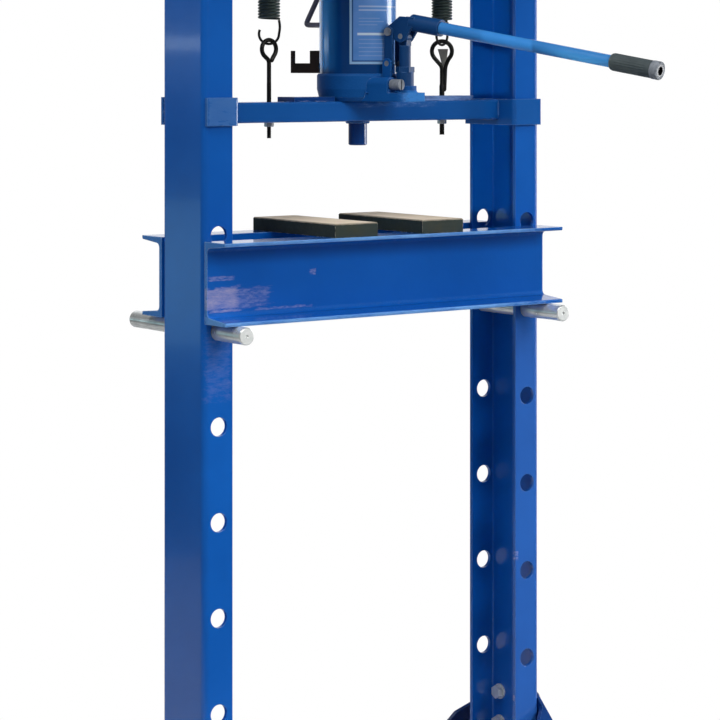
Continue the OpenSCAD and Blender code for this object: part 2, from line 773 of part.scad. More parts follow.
module jack_stop_plates() {
  color(deep_blue) difference() {
    translate([-stop_left, -bar_w / 2 + bar_r, platform_top])
      cube([stop_left + stop_right, bar_w - 2 * bar_r, stop_t]);
    translate([0, 0, platform_top - 1]) cylinder(r = base_r + 0.5, h = stop_t + 2);
    eye_holes(platform_top - 1, stop_t + 2);
  }
}

// ---- jack: everything below is drawn about the jack's own axis ----

module jack() { translate([0, 0, platform_top]) rotate([0, 0, jack_turn]) children(); }

module jack_base() {
  r = res_d / 2;
  color(blue) jack() difference() {
    union() {
      rotate_extrude() polygon([[0, 0], [r - 4, 0], [r + base_lip * 0.2, 6], [base_r, 18],
        [base_r, base_h - 3], [base_r - 2, base_h], [0, base_h]]);
      linear_extrude(height = toe_h)
        round_rect(-toe_near, -toe_reach, toe_far, 0, 8);
      translate([0, -plunger_x, 0]) cylinder(d = barrel_d + 8, h = toe_h + 10);
      translate([-valve_x, -44, valve_z]) rotate([90, 0, 0]) cylinder(r = 11, h = 40);
      translate([-valve_x - 11, -84, 0]) cube([22, 40, valve_z]);
      for (sx = [-1, 1]) translate([sx * (link_in + link_out) / 2 - link_t / 2, -fulcrum_r, 0])
        translate([sx * (link_t + stack_play), 0, 0]) lug();
    }
    // seats of the reservoir, the cylinder and the pump barrel
    translate([0, 0, base_floor + 5]) cylinder(r = r, h = base_h);
    translate([0, 0, cyl_low]) cylinder(d = cyl_d, h = base_h);
    translate([0, -plunger_x, toe_h]) cylinder(d = barrel_d, h = 60);
    // ball pockets and the passages between them
    translate([0, -plunger_x, toe_h - ball_d - 1]) cylinder(d = ball_d + 1, h = ball_d + 2);
    translate([0, 0, cyl_low - ball_d - 1]) cylinder(d = ball_d + 1, h = ball_d + 2);
    translate([0, 0, cyl_low - ball_d + 2]) rotate([90, 0, 0])
      cylinder(d = 4, h = plunger_x, $fn = 24);
    translate([0, -plunger_x, toe_h - 2]) cylinder(d = 4, h = 3, $fn = 24);
    // release valve bore
    translate([-valve_x, -60, valve_z]) rotate([90, 0, 0])
      cylinder(r = valve_d / 2 + fit_play, h = 40);
    // room for the link plates beside the pump
    for (sx = [-1, 1]) translate([sx * (link_in + link_out) / 2 - link_t / 2 - stack_play,
        -fulcrum_r - link_w, base_h]) cube([link_t + 2 * stack_play, 2 * link_w, 60]);
  }
}
// ear that carries one end of the lower link pin
module lug() {
  difference() {
    union() {
      translate([0, -link_w / 2, 0]) cube([link_t, link_w, link_low_z]);
      translate([0, 0, link_low_z]) rotate([0, 90, 0]) cylinder(d = link_w, h = link_t);
    }
    translate([-1, 0, link_low_z]) rotate([0, 90, 0]) cylinder(d = link_pin_d, h = link_t + 2);
  }
}
module reservoir() {
  r = res_d / 2;
  color(deep_blue) jack() difference() {
    translate([0, 0, base_floor + 5]) cylinder(r = r, h = res_top - base_floor - 5);
    translate([0, 0, base_floor + 4]) cylinder(r = r - res_wall, h = res_top);
    translate([0, r - res_wall - 1, filler_z]) rotate([-90, 0, 0]) cylinder(d = filler_d, h = res_wall + 2);
  }
}
module pressure_cylinder() {
  color(zinc) jack() translate([0, 0, cyl_low]) difference() {
    cylinder(d = cyl_d, h = res_top - cyl_low);
    translate([0, 0, -1]) cylinder(d = cyl_bore, h = res_top);
  }
}
module jack_top_cap() {
  r = res_d / 2;
  color(deep_blue) jack() translate([0, 0, res_top]) difference() {
    union() {
      rotate_extrude() polygon([[0, 0], [r, 0], [r + 1.5, 2], [r + 1.5, cap_rim - 3],
        [r - 1.5, cap_rim], [0, cap_rim]]);
      translate([0, 0, cap_rim]) hexagon(cap_hex_af, cap_hex_h);
    }
    translate([0, 0, -1]) cylinder(r = ram_d / 2 + fit_play, h = 60);
  }
}
module filler_plug() {
  r = res_d / 2;
  color(black) jack() translate([0, r - res_wall, filler_z]) rotate([-90, 0, 0])
    cylinder(d = filler_d, h = res_wall + 1);
}
module label_panel() {
  r = res_d / 2;
  color("white") translate([0, 0, platform_top + label_z]) rotate([0, 0, -90 - label_arc / 2])
    rotate_extrude(angle = label_arc) translate([r + fit_play, 0]) square([label_t, label_h]);
}

module jack_ram() {
  color(zinc) jack() difference() {
    union() {
      translate([0, 0, piston_z]) cylinder(r = cyl_bore / 2 - fit_play, h = piston_h);
      translate([0, 0, rod_low]) cylinder(d = ram_d, h = saddle_z - rod_low);
    }
    translate([0, 0, piston_z + (piston_h - seal_h) / 2]) difference() {
      cylinder(d = cyl_bore, h = seal_h);
      translate([0, 0, -1]) cylinder(d = ram_d, h = seal_h + 2);
    }
  }
}
module ram_seal() {
  color(black) jack() translate([0, 0, piston_z + (piston_h - seal_h) / 2]) difference() {
    cylinder(r = cyl_bore / 2 - fit_play, h = seal_h);
    translate([0, 0, -1]) cylinder(d = ram_d, h = seal_h + 2);
  }
}
module jack_saddle() {
  r = saddle_d / 2;
  color(zinc) jack() translate([0, 0, saddle_z]) difference() {
    rotate_extrude() polygon([[0, 0], [r - 1.5, 0], [r, 1.5], [r, saddle_h - 1], [r - 1, saddle_h], [0, saddle_h]]);
    for (a = [0:30:150]) rotate([0, 0, a]) translate([-r - 1, -1.2, saddle_h - 1.5]) cube([2 * r + 2, 2.4, 3]);
  }
}

// ---- pump ----

module pump_barrel() {
  color(deep_blue) jack() translate([0, -plunger_x, toe_h]) difference() {
    union() {
      cylinder(d = barrel_d, h = barrel_top - toe_h - 8);
      translate([0, 0, barrel_top - toe_h - 8]) hexagon(barrel_d * 0.94, 8);
    }
    translate([0, 0, 4]) cylinder(r = plunger_d / 2 + fit_play, h = barrel_top);
    translate([0, 0, -1]) cylinder(d = 4, h = 20, $fn = 24);
  }
}
module pump_plunger() {
  t = plunger_eye_t;
  lo = toe_h + 5;
  top = plunger_pin_z - lug_r - 5;
  color(zinc) jack() translate([0, -plunger_x, 0]) difference() {
    union() {
      translate([0, 0, lo]) cylinder(d = plunger_d, h = top - lo);
      translate([-t / 2, -7, top]) cube([t, 14, plunger_pin_z - top]);
      translate([-t / 2, 0, plunger_pin_z]) rotate([0, 90, 0]) cylinder(r = lug_r, h = t);
    }
    translate([-t / 2 - 1, 0, plunger_pin_z]) rotate([0, 90, 0]) cylinder(r = eye_slot_r, h = t + 2);
  }
}
// pin along the jack's x axis, with a head at each end
module cross_pin(y, z, d, half) {
  translate([-half, -y, z]) rotate([0, 90, 0]) cylinder(d = d, h = 2 * half);
  for (sx = [-1, 1]) translate([sx * half - (sx > 0 ? 0 : 2.5), -y, z]) rotate([0, 90, 0])
    cylinder(d = d + 4, h = 2.5);
}
module plunger_pin() {
  color(zinc) jack() translate([-fork_out, -pin_rest_x, plunger_pin_z]) rotate([0, 90, 0])
    cylinder(d = link_pin_d, h = 2 * fork_out);
}
module fulcrum_pin() { color(zinc) jack() cross_pin(fulcrum_r, fulcrum_z, link_pin_d, link_out + 0.3); }
module link_lower_pin() {
  color(zinc) jack() for (sx = [-1, 1])
    translate([sx * (link_in + link_out + link_t + stack_play) / 2 - link_t - stack_play / 2, -fulcrum_r, link_low_z])
      rotate([0, 90, 0]) cylinder(d = link_pin_d, h = 2 * link_t + stack_play);
}
module link_plates() {
  color(deep_blue) jack() for (sx = [-1, 1])
    translate([sx * (link_in + link_out) / 2 - link_t / 2, -fulcrum_r, 0]) difference() {
      union() {
        translate([0, -link_w / 2, link_low_z]) cube([link_t, link_w, fulcrum_z - link_low_z]);
        for (z = [link_low_z, fulcrum_z]) translate([0, 0, z]) rotate([0, 90, 0]) cylinder(d = link_w, h = link_t);
      }
      translate([-1, 0, fulcrum_z]) rotate([0, 90, 0]) cylinder(r = link_pin_d / 2 + fit_play, h = link_t + 2);
      translate([-1, 0, link_low_z]) rotate([0, 90, 0]) cylinder(d = link_pin_d, h = link_t + 2);
    }
}

// along the handle: x' runs out from the plunger's axis, down by handle_slope
module handle_line() {
  jack() translate([0, -plunger_x, handle_z]) rotate([90 + handle_slope, 0, 0]) children();
}
function along(reach) = (reach - plunger_x) / cos(handle_slope);

module handle_socket() {
  inner = along(plunger_x + 14);
  color(deep_blue) difference() {
    union() {
      handle_line() translate([0, 0, inner]) cylinder(d = socket_d, h = along(socket_reach) - inner);
      jack() for (sx = [-1, 1]) translate([sx > 0 ? fork_in : -fork_out, 0, 0]) rotate([90, 0, 90])
        mirror([1, 0]) linear_extrude(height = fork_t) polygon(concat(
          arc_points(fulcrum_r, fulcrum_z, lug_r, 110, 235),
          arc_points(pin_rest_x, plunger_pin_z, lug_r, 235, 320),
          [[plunger_x + 18, handle_z - socket_d / 2 + 1], [plunger_x + 24, handle_z - 8],
           [plunger_x + 24, handle_z + 5], [plunger_x - 2, handle_z + 7]]));
      jack() translate([-fork_out, -plunger_x - 20, handle_z - 7]) cube([2 * fork_out, 20, 12]);
    }
    handle_line() translate([0, 0, inner + 8]) cylinder(d = bar_d, h = 200);
    jack() for (p = [[fulcrum_r, fulcrum_z], [pin_rest_x, plunger_pin_z]])
      translate([-40, -p[0], p[1]]) rotate([0, 90, 0]) cylinder(d = link_pin_d, h = 80);
  }
}
module handle_bar() {
  start = along(plunger_x + 14) + 8;
  color([0.12, 0.38, 0.72]) handle_line() translate([0, 0, start]) difference() {
    cylinder(d = bar_d, h = along(bar_reach) - start);
    translate([0, 0, -1]) cylinder(d = bar_d - 2 * bar_wall, h = 600);
  }
}
module handle_grip() {
  color([0.2, 0.2, 0.22]) handle_line() translate([0, 0, along(bar_reach) - ring_len - grip_len]) difference() {
    rotate_extrude() polygon([[bar_d / 2, 0], [grip_d / 2 - 2, 0], [grip_d / 2, 3],
      [grip_d / 2, grip_len], [bar_d / 2, grip_len]]);
  }
}
module handle_end_ring() {
  color(zinc) handle_line() translate([0, 0, along(bar_reach) - ring_len]) rotate_extrude() polygon([
    [bar_d / 2, 0], [ring_d / 2 - 1, 0], [ring_d / 2, 1], [ring_d / 2, ring_len - 1],
    [ring_d / 2 - 1, ring_len], [bar_d / 2, ring_len]]);
}
module release_valve() {
  color(zinc) jack() translate([-valve_x, -62, valve_z]) rotate([90, 0, 0]) difference() {
    union() {
      cylinder(d = valve_d, h = 26);
      translate([0, 0, 23]) cylinder(d = 16, h = 17);
    }
    translate([-1.5, -10, 32]) cube([3, 20, 10]);
  }
}
module valve_balls() {
  color(zinc) jack() {
    translate([0, -plunger_x, toe_h - 1 - ball_d / 2]) sphere(d = ball_d);
    translate([0, 0, cyl_low - 1 - ball_d / 2]) sphere(d = ball_d);
  }
}

// ---- fittings at the back of the jack ----

module carry_handle() {
  r = res_d / 2;
  foot = [0, r - 6, carry_low];
  corner = [0, carry_reach, carry_low];
  head = [0, r - 2, carry_high];
  color(black) jack() difference() {
    union() {
      bar_between(foot, corner, carry_d);
      translate(corner) sphere(d = carry_d * carry_knuckle);
      bar_between(corner, head, carry_d);
    }
    translate([0, 0, carry_low - 20]) cylinder(r = r, h = carry_high);
  }
}
module handle_rest() {
  r = res_d / 2;
  x0 = rest_reach - rest_prong - rest_slot;
  color([0.13, 0.09, 0.07]) jack() difference() {
    translate([rest_t / 2, 0, base_h + 0.5]) rotate([90, 0, -90]) mirror([1, 0])
      linear_extrude(height = rest_t) polygon([[r - 2, 0], [rest_reach, 0],
        [rest_reach, rest_top - base_h], [rest_reach - rest_prong, rest_top - base_h],
        [rest_reach - rest_prong, rest_bar], [x0, rest_bar], [x0, rest_top - base_h],
        [r - 2, rest_top - base_h]]);
    translate([0, 0, base_h]) cylinder(r = r, h = 80);
  }
}

left_post();
right_post();
head_front_channel();
head_rear_channel();
head_thrust_plate();
head_bolts();
head_nuts();
left_foot();
right_foot();
foot_bolts();
foot_washers();
foot_nuts();
rear_tie();
tie_bolts();
tie_nuts();
bed_front_channel();
bed_rear_channel();
bed_cross_plates();
bed_pin_left();
bed_pin_right();
press_plate_left();
press_plate_right();
spring_rods();
spring_rod_nuts();
upper_spring_hooks();
spring_left();
spring_right();
platform_bar();
guide_strap_left();
guide_strap_right();
ram_nose();
jack_stop_plates();
eye_bolt_left();
eye_bolt_right();
eye_nuts();
lower_spring_hooks();
jack_base();
reservoir();
pressure_cylinder();
jack_top_cap();
filler_plug();
label_panel();
pump_barrel();
link_plates();
link_lower_pin();
carry_handle();
handle_rest();
valve_balls();
jack_ram();
ram_seal();
jack_saddle();
handle_socket();
fulcrum_pin();
handle_bar();
handle_grip();
handle_end_ring();
pump_plunger();
plunger_pin();
release_valve();
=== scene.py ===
# %% [markdown]
# # A workshop press in blue enamel
# This lesson dresses a hydraulic workshop press: two channel posts, a bed on
# loose pins, a platform that slides between the posts, and a bottle jack.
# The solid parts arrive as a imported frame, already in place and in metres.
# We keep every solid whose shape is right and give it a real finish, and we
# work out new surfaces with numpy for wire, threads, welds, rubber and the
# label, where a plain solid looks too bare.

# %% Load the press
import math
import bpy
import numpy as np
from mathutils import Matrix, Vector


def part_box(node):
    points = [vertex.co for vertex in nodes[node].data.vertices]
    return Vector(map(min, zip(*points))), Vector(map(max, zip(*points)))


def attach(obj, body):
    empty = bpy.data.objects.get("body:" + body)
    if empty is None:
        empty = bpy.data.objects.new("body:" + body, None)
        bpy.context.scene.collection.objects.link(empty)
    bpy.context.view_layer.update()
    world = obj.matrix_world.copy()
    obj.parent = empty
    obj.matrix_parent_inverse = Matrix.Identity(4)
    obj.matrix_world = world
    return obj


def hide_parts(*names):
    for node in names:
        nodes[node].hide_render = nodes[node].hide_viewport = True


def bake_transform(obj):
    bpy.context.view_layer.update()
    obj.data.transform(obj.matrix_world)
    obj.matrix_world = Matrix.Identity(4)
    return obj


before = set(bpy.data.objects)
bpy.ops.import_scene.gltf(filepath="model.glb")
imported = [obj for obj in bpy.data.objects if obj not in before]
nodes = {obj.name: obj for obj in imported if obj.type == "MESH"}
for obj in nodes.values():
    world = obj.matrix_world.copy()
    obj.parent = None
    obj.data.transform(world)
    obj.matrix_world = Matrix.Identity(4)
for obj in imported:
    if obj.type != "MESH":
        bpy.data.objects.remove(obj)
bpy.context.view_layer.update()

MM = 0.001


# %% [markdown]
# ## The camera
# A long lens far from the press keeps its posts nearly parallel. The camera
# is level and looks from the front left. The press stands below the lens, so
# the picture is shifted down, as a view camera does it, and the posts stay
# upright in the frame.

# %% Place the camera
lens = bpy.data.cameras.new("press_camera")
lens.lens, lens.sensor_width = 123.021, 36.0
lens.shift_x, lens.shift_y = 0.00047, -0.40861
camera = bpy.data.objects.new("press_camera", lens)
camera.location = (-2.16819, -2.97679, 1.21458)
camera.rotation_euler = (math.radians(90), 0, math.radians(-36.115))
bpy.context.scene.collection.objects.link(camera)
bpy.context.scene.camera = camera
bpy.context.scene.view_settings.view_transform = "Standard"
print("camera at", tuple(camera.location), "lens", lens.lens, "mm")


# %% [markdown]
# ## Circles and nodes
# Round parts start from the same circle of angles. Every finish is a small
# tree of nodes: these helpers make a node in the tree that was opened last,
# set it and link it in one call, and give back the socket for the next node.

# %% Small helpers
def around(count):
    """Even angles once round a circle, from 0."""
    return np.linspace(0, 2 * np.pi, count, endpoint=False)


def rings(r, a, z):
    """Points (r cos a, r sin a, z) from arrays that spread over one grid."""
    return np.stack(np.broadcast_arrays(r * np.cos(a), r * np.sin(a), z), -1)


def ring_points(r, z, n=90, centre=(0, 0)):
    """Points on a level circle."""
    return rings(r, around(n), z) + (*centre, 0)


def srgb(r, g, b):
    """A colour written in screen values, 0 to 255, as the linear colour that
    nodes use: ((c + 0.055) / 1.055) to the power 2.4."""
    c = np.array([r, g, b]) / 255
    return (*np.where(c <= 0.04045, c / 12.92, ((c + 0.055) / 1.055) ** 2.4).tolist(), 1.0)


OPENED = []


def new_tree(owner):
    """Empties the node tree of a world or a material, and opens it."""
    owner.use_nodes = True
    owner.node_tree.nodes.clear()
    OPENED.append(owner.node_tree)


def feed(value, socket):
    """Links an output to an input socket, or sets a plain value on it."""
    if isinstance(value, bpy.types.NodeSocket):
        socket.id_data.links.new(value, socket)
    else:
        socket.default_value = value


def add(kind, inputs=None, **settings):
    """A shader node of a kind, with its settings and its inputs."""
    node = OPENED[-1].nodes.new("ShaderNode" + kind)
    for key, value in settings.items():
        setattr(node, key, value)
    for key, value in (inputs or {}).items():
        feed(value, node.inputs[key])
    return node


def coords(kind="Object"):
    """Output socket of the texture coordinates."""
    return add("TexCoord").outputs[kind]


def xyz(value):
    """The X, Y and Z outputs of a vector."""
    return add("SeparateXYZ", {0: value}).outputs


def sums(operation, a, b, clamp=False):
    """Output socket of a Math node."""
    return add("Math", {0: a, 1: b}, operation=operation, use_clamp=clamp).outputs[0]


def times(a, b):
    """Output socket for a times b."""
    return sums("MULTIPLY", a, b)


def rise(base, gain, mask, clamp=False):
    """Output socket for base + gain * mask."""
    return sums("ADD", base, times(mask, gain), clamp)


def vector(operation, a, b=(0, 0, 0)):
    """Output socket of a Vector Math node: its number where it gives one."""
    node = add("VectorMath", {0: a, 1: b}, operation=operation)
    return node.outputs["Value" if operation in ("LENGTH", "DOT_PRODUCT") else "Vector"]


def ramp(value, lo, hi, to_lo=0.0, to_hi=1.0, **settings):
    """Value carried from one range to another, and held at its ends."""
    inputs = {"Value": value, "From Min": lo, "From Max": hi, "To Min": to_lo, "To Max": to_hi}
    return add("MapRange", inputs, **settings).outputs["Result"]


def two_shaders(mask, a, b, output="OutputMaterial"):
    """Shader a where the mask is 0 and shader b where it is 1, to the output."""
    mix = add("MixShader", {0: mask, 1: a.outputs[0], 2: b.outputs[0]})
    add(output, {"Surface": mix.outputs[0]})


print("small helpers ready")


# %% [markdown]
# ## A plain studio
# The press stands on a pale floor. The room is white only where a camera ray
# meets it; to the press it is dim, with a pale wall behind, so the enamel
# keeps its depth and the bare metal has something bright to mirror. The
# front lamp's beam is held to a narrow spread and aimed at the foot of the
# press, so the posts are brighter lower down. A lamp at the upper left fills
# in, a tall lamp on the right draws the highlight on the jack, and two panels
# at the back left give the soft bands that glossy sheet shows. Three narrow
# slots of light reach the right post's inside above the bed and the jack's
# left edge.

# %% Room and floor
AWAY = (0.587, 0.809, 0.0)


def room_light(dim=0.185, glossy_dim=0.06, wall=1.0, wall_from=0.55, wall_full=0.9):
    """World: white for camera rays, a dim room with a pale back wall for the rest.

    The wall is a smooth step on the dot product of the ray with the way AWAY
    from the camera. Elsewhere mirrors see a darker room than matt light does."""
    world = bpy.data.worlds.new("studio")
    bpy.context.scene.world = world
    new_tree(world)
    path = add("LightPath").outputs
    near = ramp(path["Is Glossy Ray"], 0.0, 1.0, dim, glossy_dim)
    along = vector("DOT_PRODUCT", coords("Generated"), AWAY)
    strength = ramp(along, wall_from, wall_full, near, wall, interpolation_type="SMOOTHSTEP")
    lit = add("Background", {"Color": (0.96, 0.98, 1.0, 1), "Strength": strength})
    seen = add("Background", {"Color": (1, 1, 1, 1)})
    either = sums("MAXIMUM", path["Is Camera Ray"], path["Is Transmission Ray"])
    two_shaders(either, lit, seen, "OutputWorld")


def pale_floor(reach=1.8, behind=(-0.56, 0.77), fade=(0.45, 0.8), grey=0.74, below=0.5 * MM):
    """A disc of floor, set mostly behind the press: matt and pale near it, so it
    takes the shadow, and plain white further out, by distance from the press."""
    mesh = bpy.data.meshes.new("floor")
    mesh.from_pydata(ring_points(reach, -below, 64, behind).tolist(), [], [list(range(64))])
    floor = bpy.data.objects.new("floor", mesh)
    bpy.context.scene.collection.objects.link(floor)
    mat = bpy.data.materials.new("pale_floor")
    new_tree(mat)
    matt = add("BsdfDiffuse", {"Color": (grey, grey, grey, 1)})
    far = ramp(vector("LENGTH", coords()), *fade)
    seen = times(add("LightPath").outputs["Is Camera Ray"], far)
    two_shaders(seen, matt, add("Emission"))
    mesh.materials.append(mat)


room_light()
pale_floor()
print("studio ready")


# %% Lamps
WHITE = (1, 1, 1)


def soft_lamp(name, at, aim, size, radiance, tint=WHITE, spread=180):
    """An area lamp. Its power is brightness times pi times area, and its beam
    keeps within the spread, in degrees."""
    data = bpy.data.lights.new(name, "AREA")
    data.shape, data.size, data.size_y = "RECTANGLE", *size
    data.energy = radiance * math.pi * size[0] * size[1]
    data.color, data.spread = tint, math.radians(spread)
    lamp = bpy.data.objects.new(name, data)
    lamp.location = at
    way = np.array(aim, float) - np.array(at, float)
    turn = math.atan2(way[1], way[0]) - math.pi / 2
    tip = math.atan2(way[2], math.hypot(way[0], way[1])) + math.pi / 2
    lamp.rotation_euler = (tip, 0, turn)
    bpy.context.scene.collection.objects.link(lamp)
    return lamp


lamps = [
    soft_lamp("front_lamp", (0.5, -3.4, 2.2), (0, 0, 0), (1.9, 1.7), 0.87, spread=52),
    soft_lamp("right_lamp", (2.38, -0.77, 1.25), (0, 0, 1.1), (0.9, 1.5), 8.0),
    soft_lamp("top_lamp", (-1.7, -0.7, 3.2), (0, 0, 1.0), (1.4, 1.4), 6.0),
    soft_lamp("left_panel_low", (-1.98, 2.73, 0.652), (-0.3, 0, 0.86), (1.3, 0.395), 0.62,
              (0.5, 1.0, 1.12)),
    soft_lamp("left_panel_high", (-1.98, 2.73, 1.275), (-0.3, 0, 1.24), (1.3, 0.036), 3.4,
              (0.7, 0.88, 1.0)),
]
TO_POST = (-0.007, -0.374), (0.28, 0.0354)
TO_JACK = (-0.2568, 0.4318), (-0.0453, -0.0212)
for name, (at, aim), z, size, radiance, tint in (
        ("slot_low", TO_POST, 1.055, (0.068, 0.14), 0.34, WHITE),
        ("slot_high", TO_POST, 1.25, (0.068, 0.16), 0.34, WHITE),
        ("slot_jack", TO_JACK, 1.2925, (0.04, 0.165), 3.3, (1, 0.92, 0.64))):
    slot = soft_lamp(name, (*at, z), (*aim, z), size, radiance, tint, spread=2)
    slot.visible_camera = slot.visible_glossy = False
    lamps.append(slot)
print("lamps:", [lamp.name for lamp in lamps])


# %% [markdown]
# ## Surfaces from arrays
# Most small parts are a profile turned round an axis, or a section carried
# along a path. Both are grids of points, so one helper makes the faces. Rows
# run along the part and columns run round it, anticlockwise, which makes the
# faces point outwards.

# %% Grid helper
def grid_faces(rows, cols, loop=False):
    """Quads of a grid whose columns close on themselves: corner (i, j) joins
    (i, j+1), (i+1, j+1) and (i+1, j). With loop, the rows close too."""
    i, j = np.meshgrid(np.arange(rows if loop else rows - 1), np.arange(cols), indexing="ij")
    i2, j2 = (i + 1) % rows, (j + 1) % cols
    quads = np.stack([i * cols + j, i * cols + j2, i2 * cols + j2, i2 * cols + j], -1)
    return quads.reshape(-1, 4).tolist()


def closed_grid(points, loop=False):
    """(vertices, faces) of a grid of points[row, column], with a flat face on
    its first and last rows unless the rows loop."""
    rows, cols, _ = points.shape
    faces = grid_faces(rows, cols, loop)
    if not loop:
        faces.append(list(range(cols))[::-1])
        faces.append([(rows - 1) * cols + c for c in range(cols)])
    return points.reshape(-1, 3), faces


def joined(parts):
    """Several (vertices, faces) as one."""
    starts = np.cumsum([0] + [len(v) for v, _ in parts])
    faces = [[k + s for k in f] for (_, fs), s in zip(parts, starts) for f in fs]
    return np.concatenate([v for v, _ in parts]), faces


def piece(name, part, material, body, stands_for=(), sharp=35):
    """Puts (vertices, faces) into an object whose place is in its mesh, smooth
    except where faces meet at more than the sharp angle."""
    mesh = bpy.data.meshes.new(name)
    mesh.from_pydata(part[0].tolist(), [], part[1])
    mesh.polygons.foreach_set("use_smooth", np.ones(len(mesh.polygons), bool))
    mesh.set_sharp_from_angle(angle=math.radians(sharp))
    mesh.materials.append(material)
    mesh.update()
    made = bpy.data.objects.new(name, mesh)
    bpy.context.scene.collection.objects.link(made)
    if body:
        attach(made, body)
    if stands_for:
        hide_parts(*stands_for)
    tris = sum(len(f) - 2 for f in part[1])
    print(f"{name}: {len(part[0])} points, {tris} triangles")
    return made


# %% Turned and swept shapes
def turned(profile, cols=48):
    """A profile of (radius, height) pairs turned round Z: x is r cos a, y is
    r sin a and z is the height."""
    r, z = np.array(profile, float).T
    return rings(r[:, None], around(cols), z[:, None])


def unit(v):
    """Vectors made one long."""
    return v / np.linalg.norm(v, axis=-1, keepdims=True)


def wire(path, up, radius, cols=12, loop=False):
    """A round wire along a path, closed. At each point the circle lies across
    the path: centre + r (cos b side + sin b up), and side is up x direction."""
    path = np.asarray(path, float)
    round_it = np.roll(path, -1, 0) - np.roll(path, 1, 0)
    way = unit(round_it if loop else np.gradient(path, axis=0))
    up = np.broadcast_to(np.asarray(up, float), path.shape)
    up = unit(up - (up * way).sum(1, keepdims=True) * way)
    side = np.cross(up, way)
    b = around(cols)[None, :, None]
    r = np.broadcast_to(np.asarray(radius, float), (len(path),))[:, None, None]
    circle = np.cos(b) * side[:, None] + np.sin(b) * up[:, None]
    return closed_grid(path[:, None] + r * circle, loop)


def turn_z(points, degrees):
    """Turns points about Z: x cos t - y sin t, x sin t + y cos t."""
    t = math.radians(degrees)
    c, s = math.cos(t), math.sin(t)
    return np.asarray(points, float) @ [[c, s, 0], [-s, c, 0], [0, 0, 1]]


def laid(points, axis):
    """Lays a shape made along +Z along the axis named: the coordinates are
    rolled round, and two of them change sign where the axis is a minus one."""
    back = (1, -1, -1) if axis == "-z" else (-1, -1, 1)
    return np.roll(points, "zxy".index(axis[1]), 1) * (back if axis[0] == "-" else (1, 1, 1))


def placed(part, axis, at):
    """A part laid along an axis at a point."""
    return laid(part[0], axis) + at, part[1]


print("shape helpers ready")


# %% [markdown]
# ## Finishes: shared effects
# Several finishes need the same effects: a cloudy change of tone, wear on
# corners, and ragged patches, which serve both for rubbed paint and for
# painted highlights and a painted reflection. Each is a node group with its
# own inputs, built once. The groups give out masks, values and normals, and
# every finish decides what to do with them. All patterns sit on Object
# coordinates, so they stay on the metal.

# %% Cloud, corner wear and ragged patch
def new_group(name, inputs, outputs):
    """A shader node group. Its sockets are vectors where their value is one."""
    tree = bpy.data.node_groups.new(name, "ShaderNodeTree")
    OPENED.append(tree)
    for way, sockets in (("INPUT", inputs), ("OUTPUT", outputs)):
        for label, value in sockets.items():
            kind = "NodeSocketVector" if isinstance(value, tuple) else "NodeSocketFloat"
            tree.interface.new_socket(label, in_out=way, socket_type=kind).default_value = value
    return tree, tree.nodes.new("NodeGroupInput").outputs, tree.nodes.new("NodeGroupOutput").inputs


def noise(place, scale, detail, roughness=0.5):
    """Output socket of a noise texture."""
    inputs = {"Vector": place, "Scale": scale, "Detail": detail, "Roughness": roughness}
    return add("TexNoise", inputs).outputs["Fac"]


def cloud_group():
    """Noise at a scale, stretched by a vector, carried to a contrast around a half."""
    inputs = {"Scale": 6.0, "Stretch": (1, 1, 1), "Low": 0.35, "High": 0.65}
    tree, given, out = new_group("soft_cloud", inputs, {"Value": 0.0})
    pulled = vector("MULTIPLY", coords(), given["Stretch"])
    grey = noise(pulled, given["Scale"], 4.0, 0.55)
    feed(ramp(grey, given["Low"], given["High"]), out["Value"])
    return tree


def corner_group():
    """Corners, where the rounded normal leaves the true one: one minus their
    dot product. Wear shows where a fine noise also passes 0.42 to 0.47, plus
    0.3 of what Bare lacks of one. Also gives out the rounded normal."""
    tree, given, out = new_group("corner_wear", {"Width": 0.0012, "Bare": 0.5},
                                 {"Edge": 0.0, "Wear": 0.0, "Normal": (0, 0, 0)})
    soft = add("Bevel", {"Radius": given["Width"]}, samples=4).outputs[0]
    same = vector("DOT_PRODUCT", soft, add("NewGeometry").outputs["Normal"])
    edge = ramp(same, 0.995, 0.90)
    speckle = noise(coords(), 70.0, 5.0, 0.7)
    lack = sums("SUBTRACT", 1.0, given["Bare"])
    hole = ramp(speckle, rise(0.42, 0.3, lack), rise(0.47, 0.3, lack))
    for key, value in (("Edge", edge), ("Wear", times(edge, hole)), ("Normal", soft)):
        feed(value, out[key])
    return tree


def ragged_patch_group(base=0.36, cut=0.42, solid=0.78):
    """A patch with a ragged edge, used for rubbed paint and for painted
    highlights and reflections: noise drawn out along X, plus (fill + base)
    times the falloff, less base, ramped from cut to solid. The falloff is
    box-shaped: it follows the largest part of (point - centre) / size."""
    inputs = {"Centre": (0, 0, 0), "Size": (1, 1, 1), "Grain": 60.0, "Fill": 0.0}
    tree, given, out = new_group("ragged_patch", inputs, {"Mask": 0.0})
    place = coords()
    away = vector("DIVIDE", vector("SUBTRACT", place, given["Centre"]), given["Size"])
    part = xyz(vector("ABSOLUTE", away))
    far = sums("MAXIMUM", sums("MAXIMUM", part["X"], part["Y"]), part["Z"])
    grain = noise(vector("MULTIPLY", place, (0.25, 1, 1)), given["Grain"], 6.0, 0.8)
    raised = times(ramp(far, 1.0, 0.5), sums("ADD", given["Fill"], base))
    height = sums("SUBTRACT", sums("ADD", grain, raised), base)
    feed(ramp(height, cut, solid), out["Mask"])
    return tree


CLOUD, CORNER, RAGGED_PATCH = cloud_group(), corner_group(), ragged_patch_group()
print("groups:", CLOUD.name, CORNER.name, RAGGED_PATCH.name)


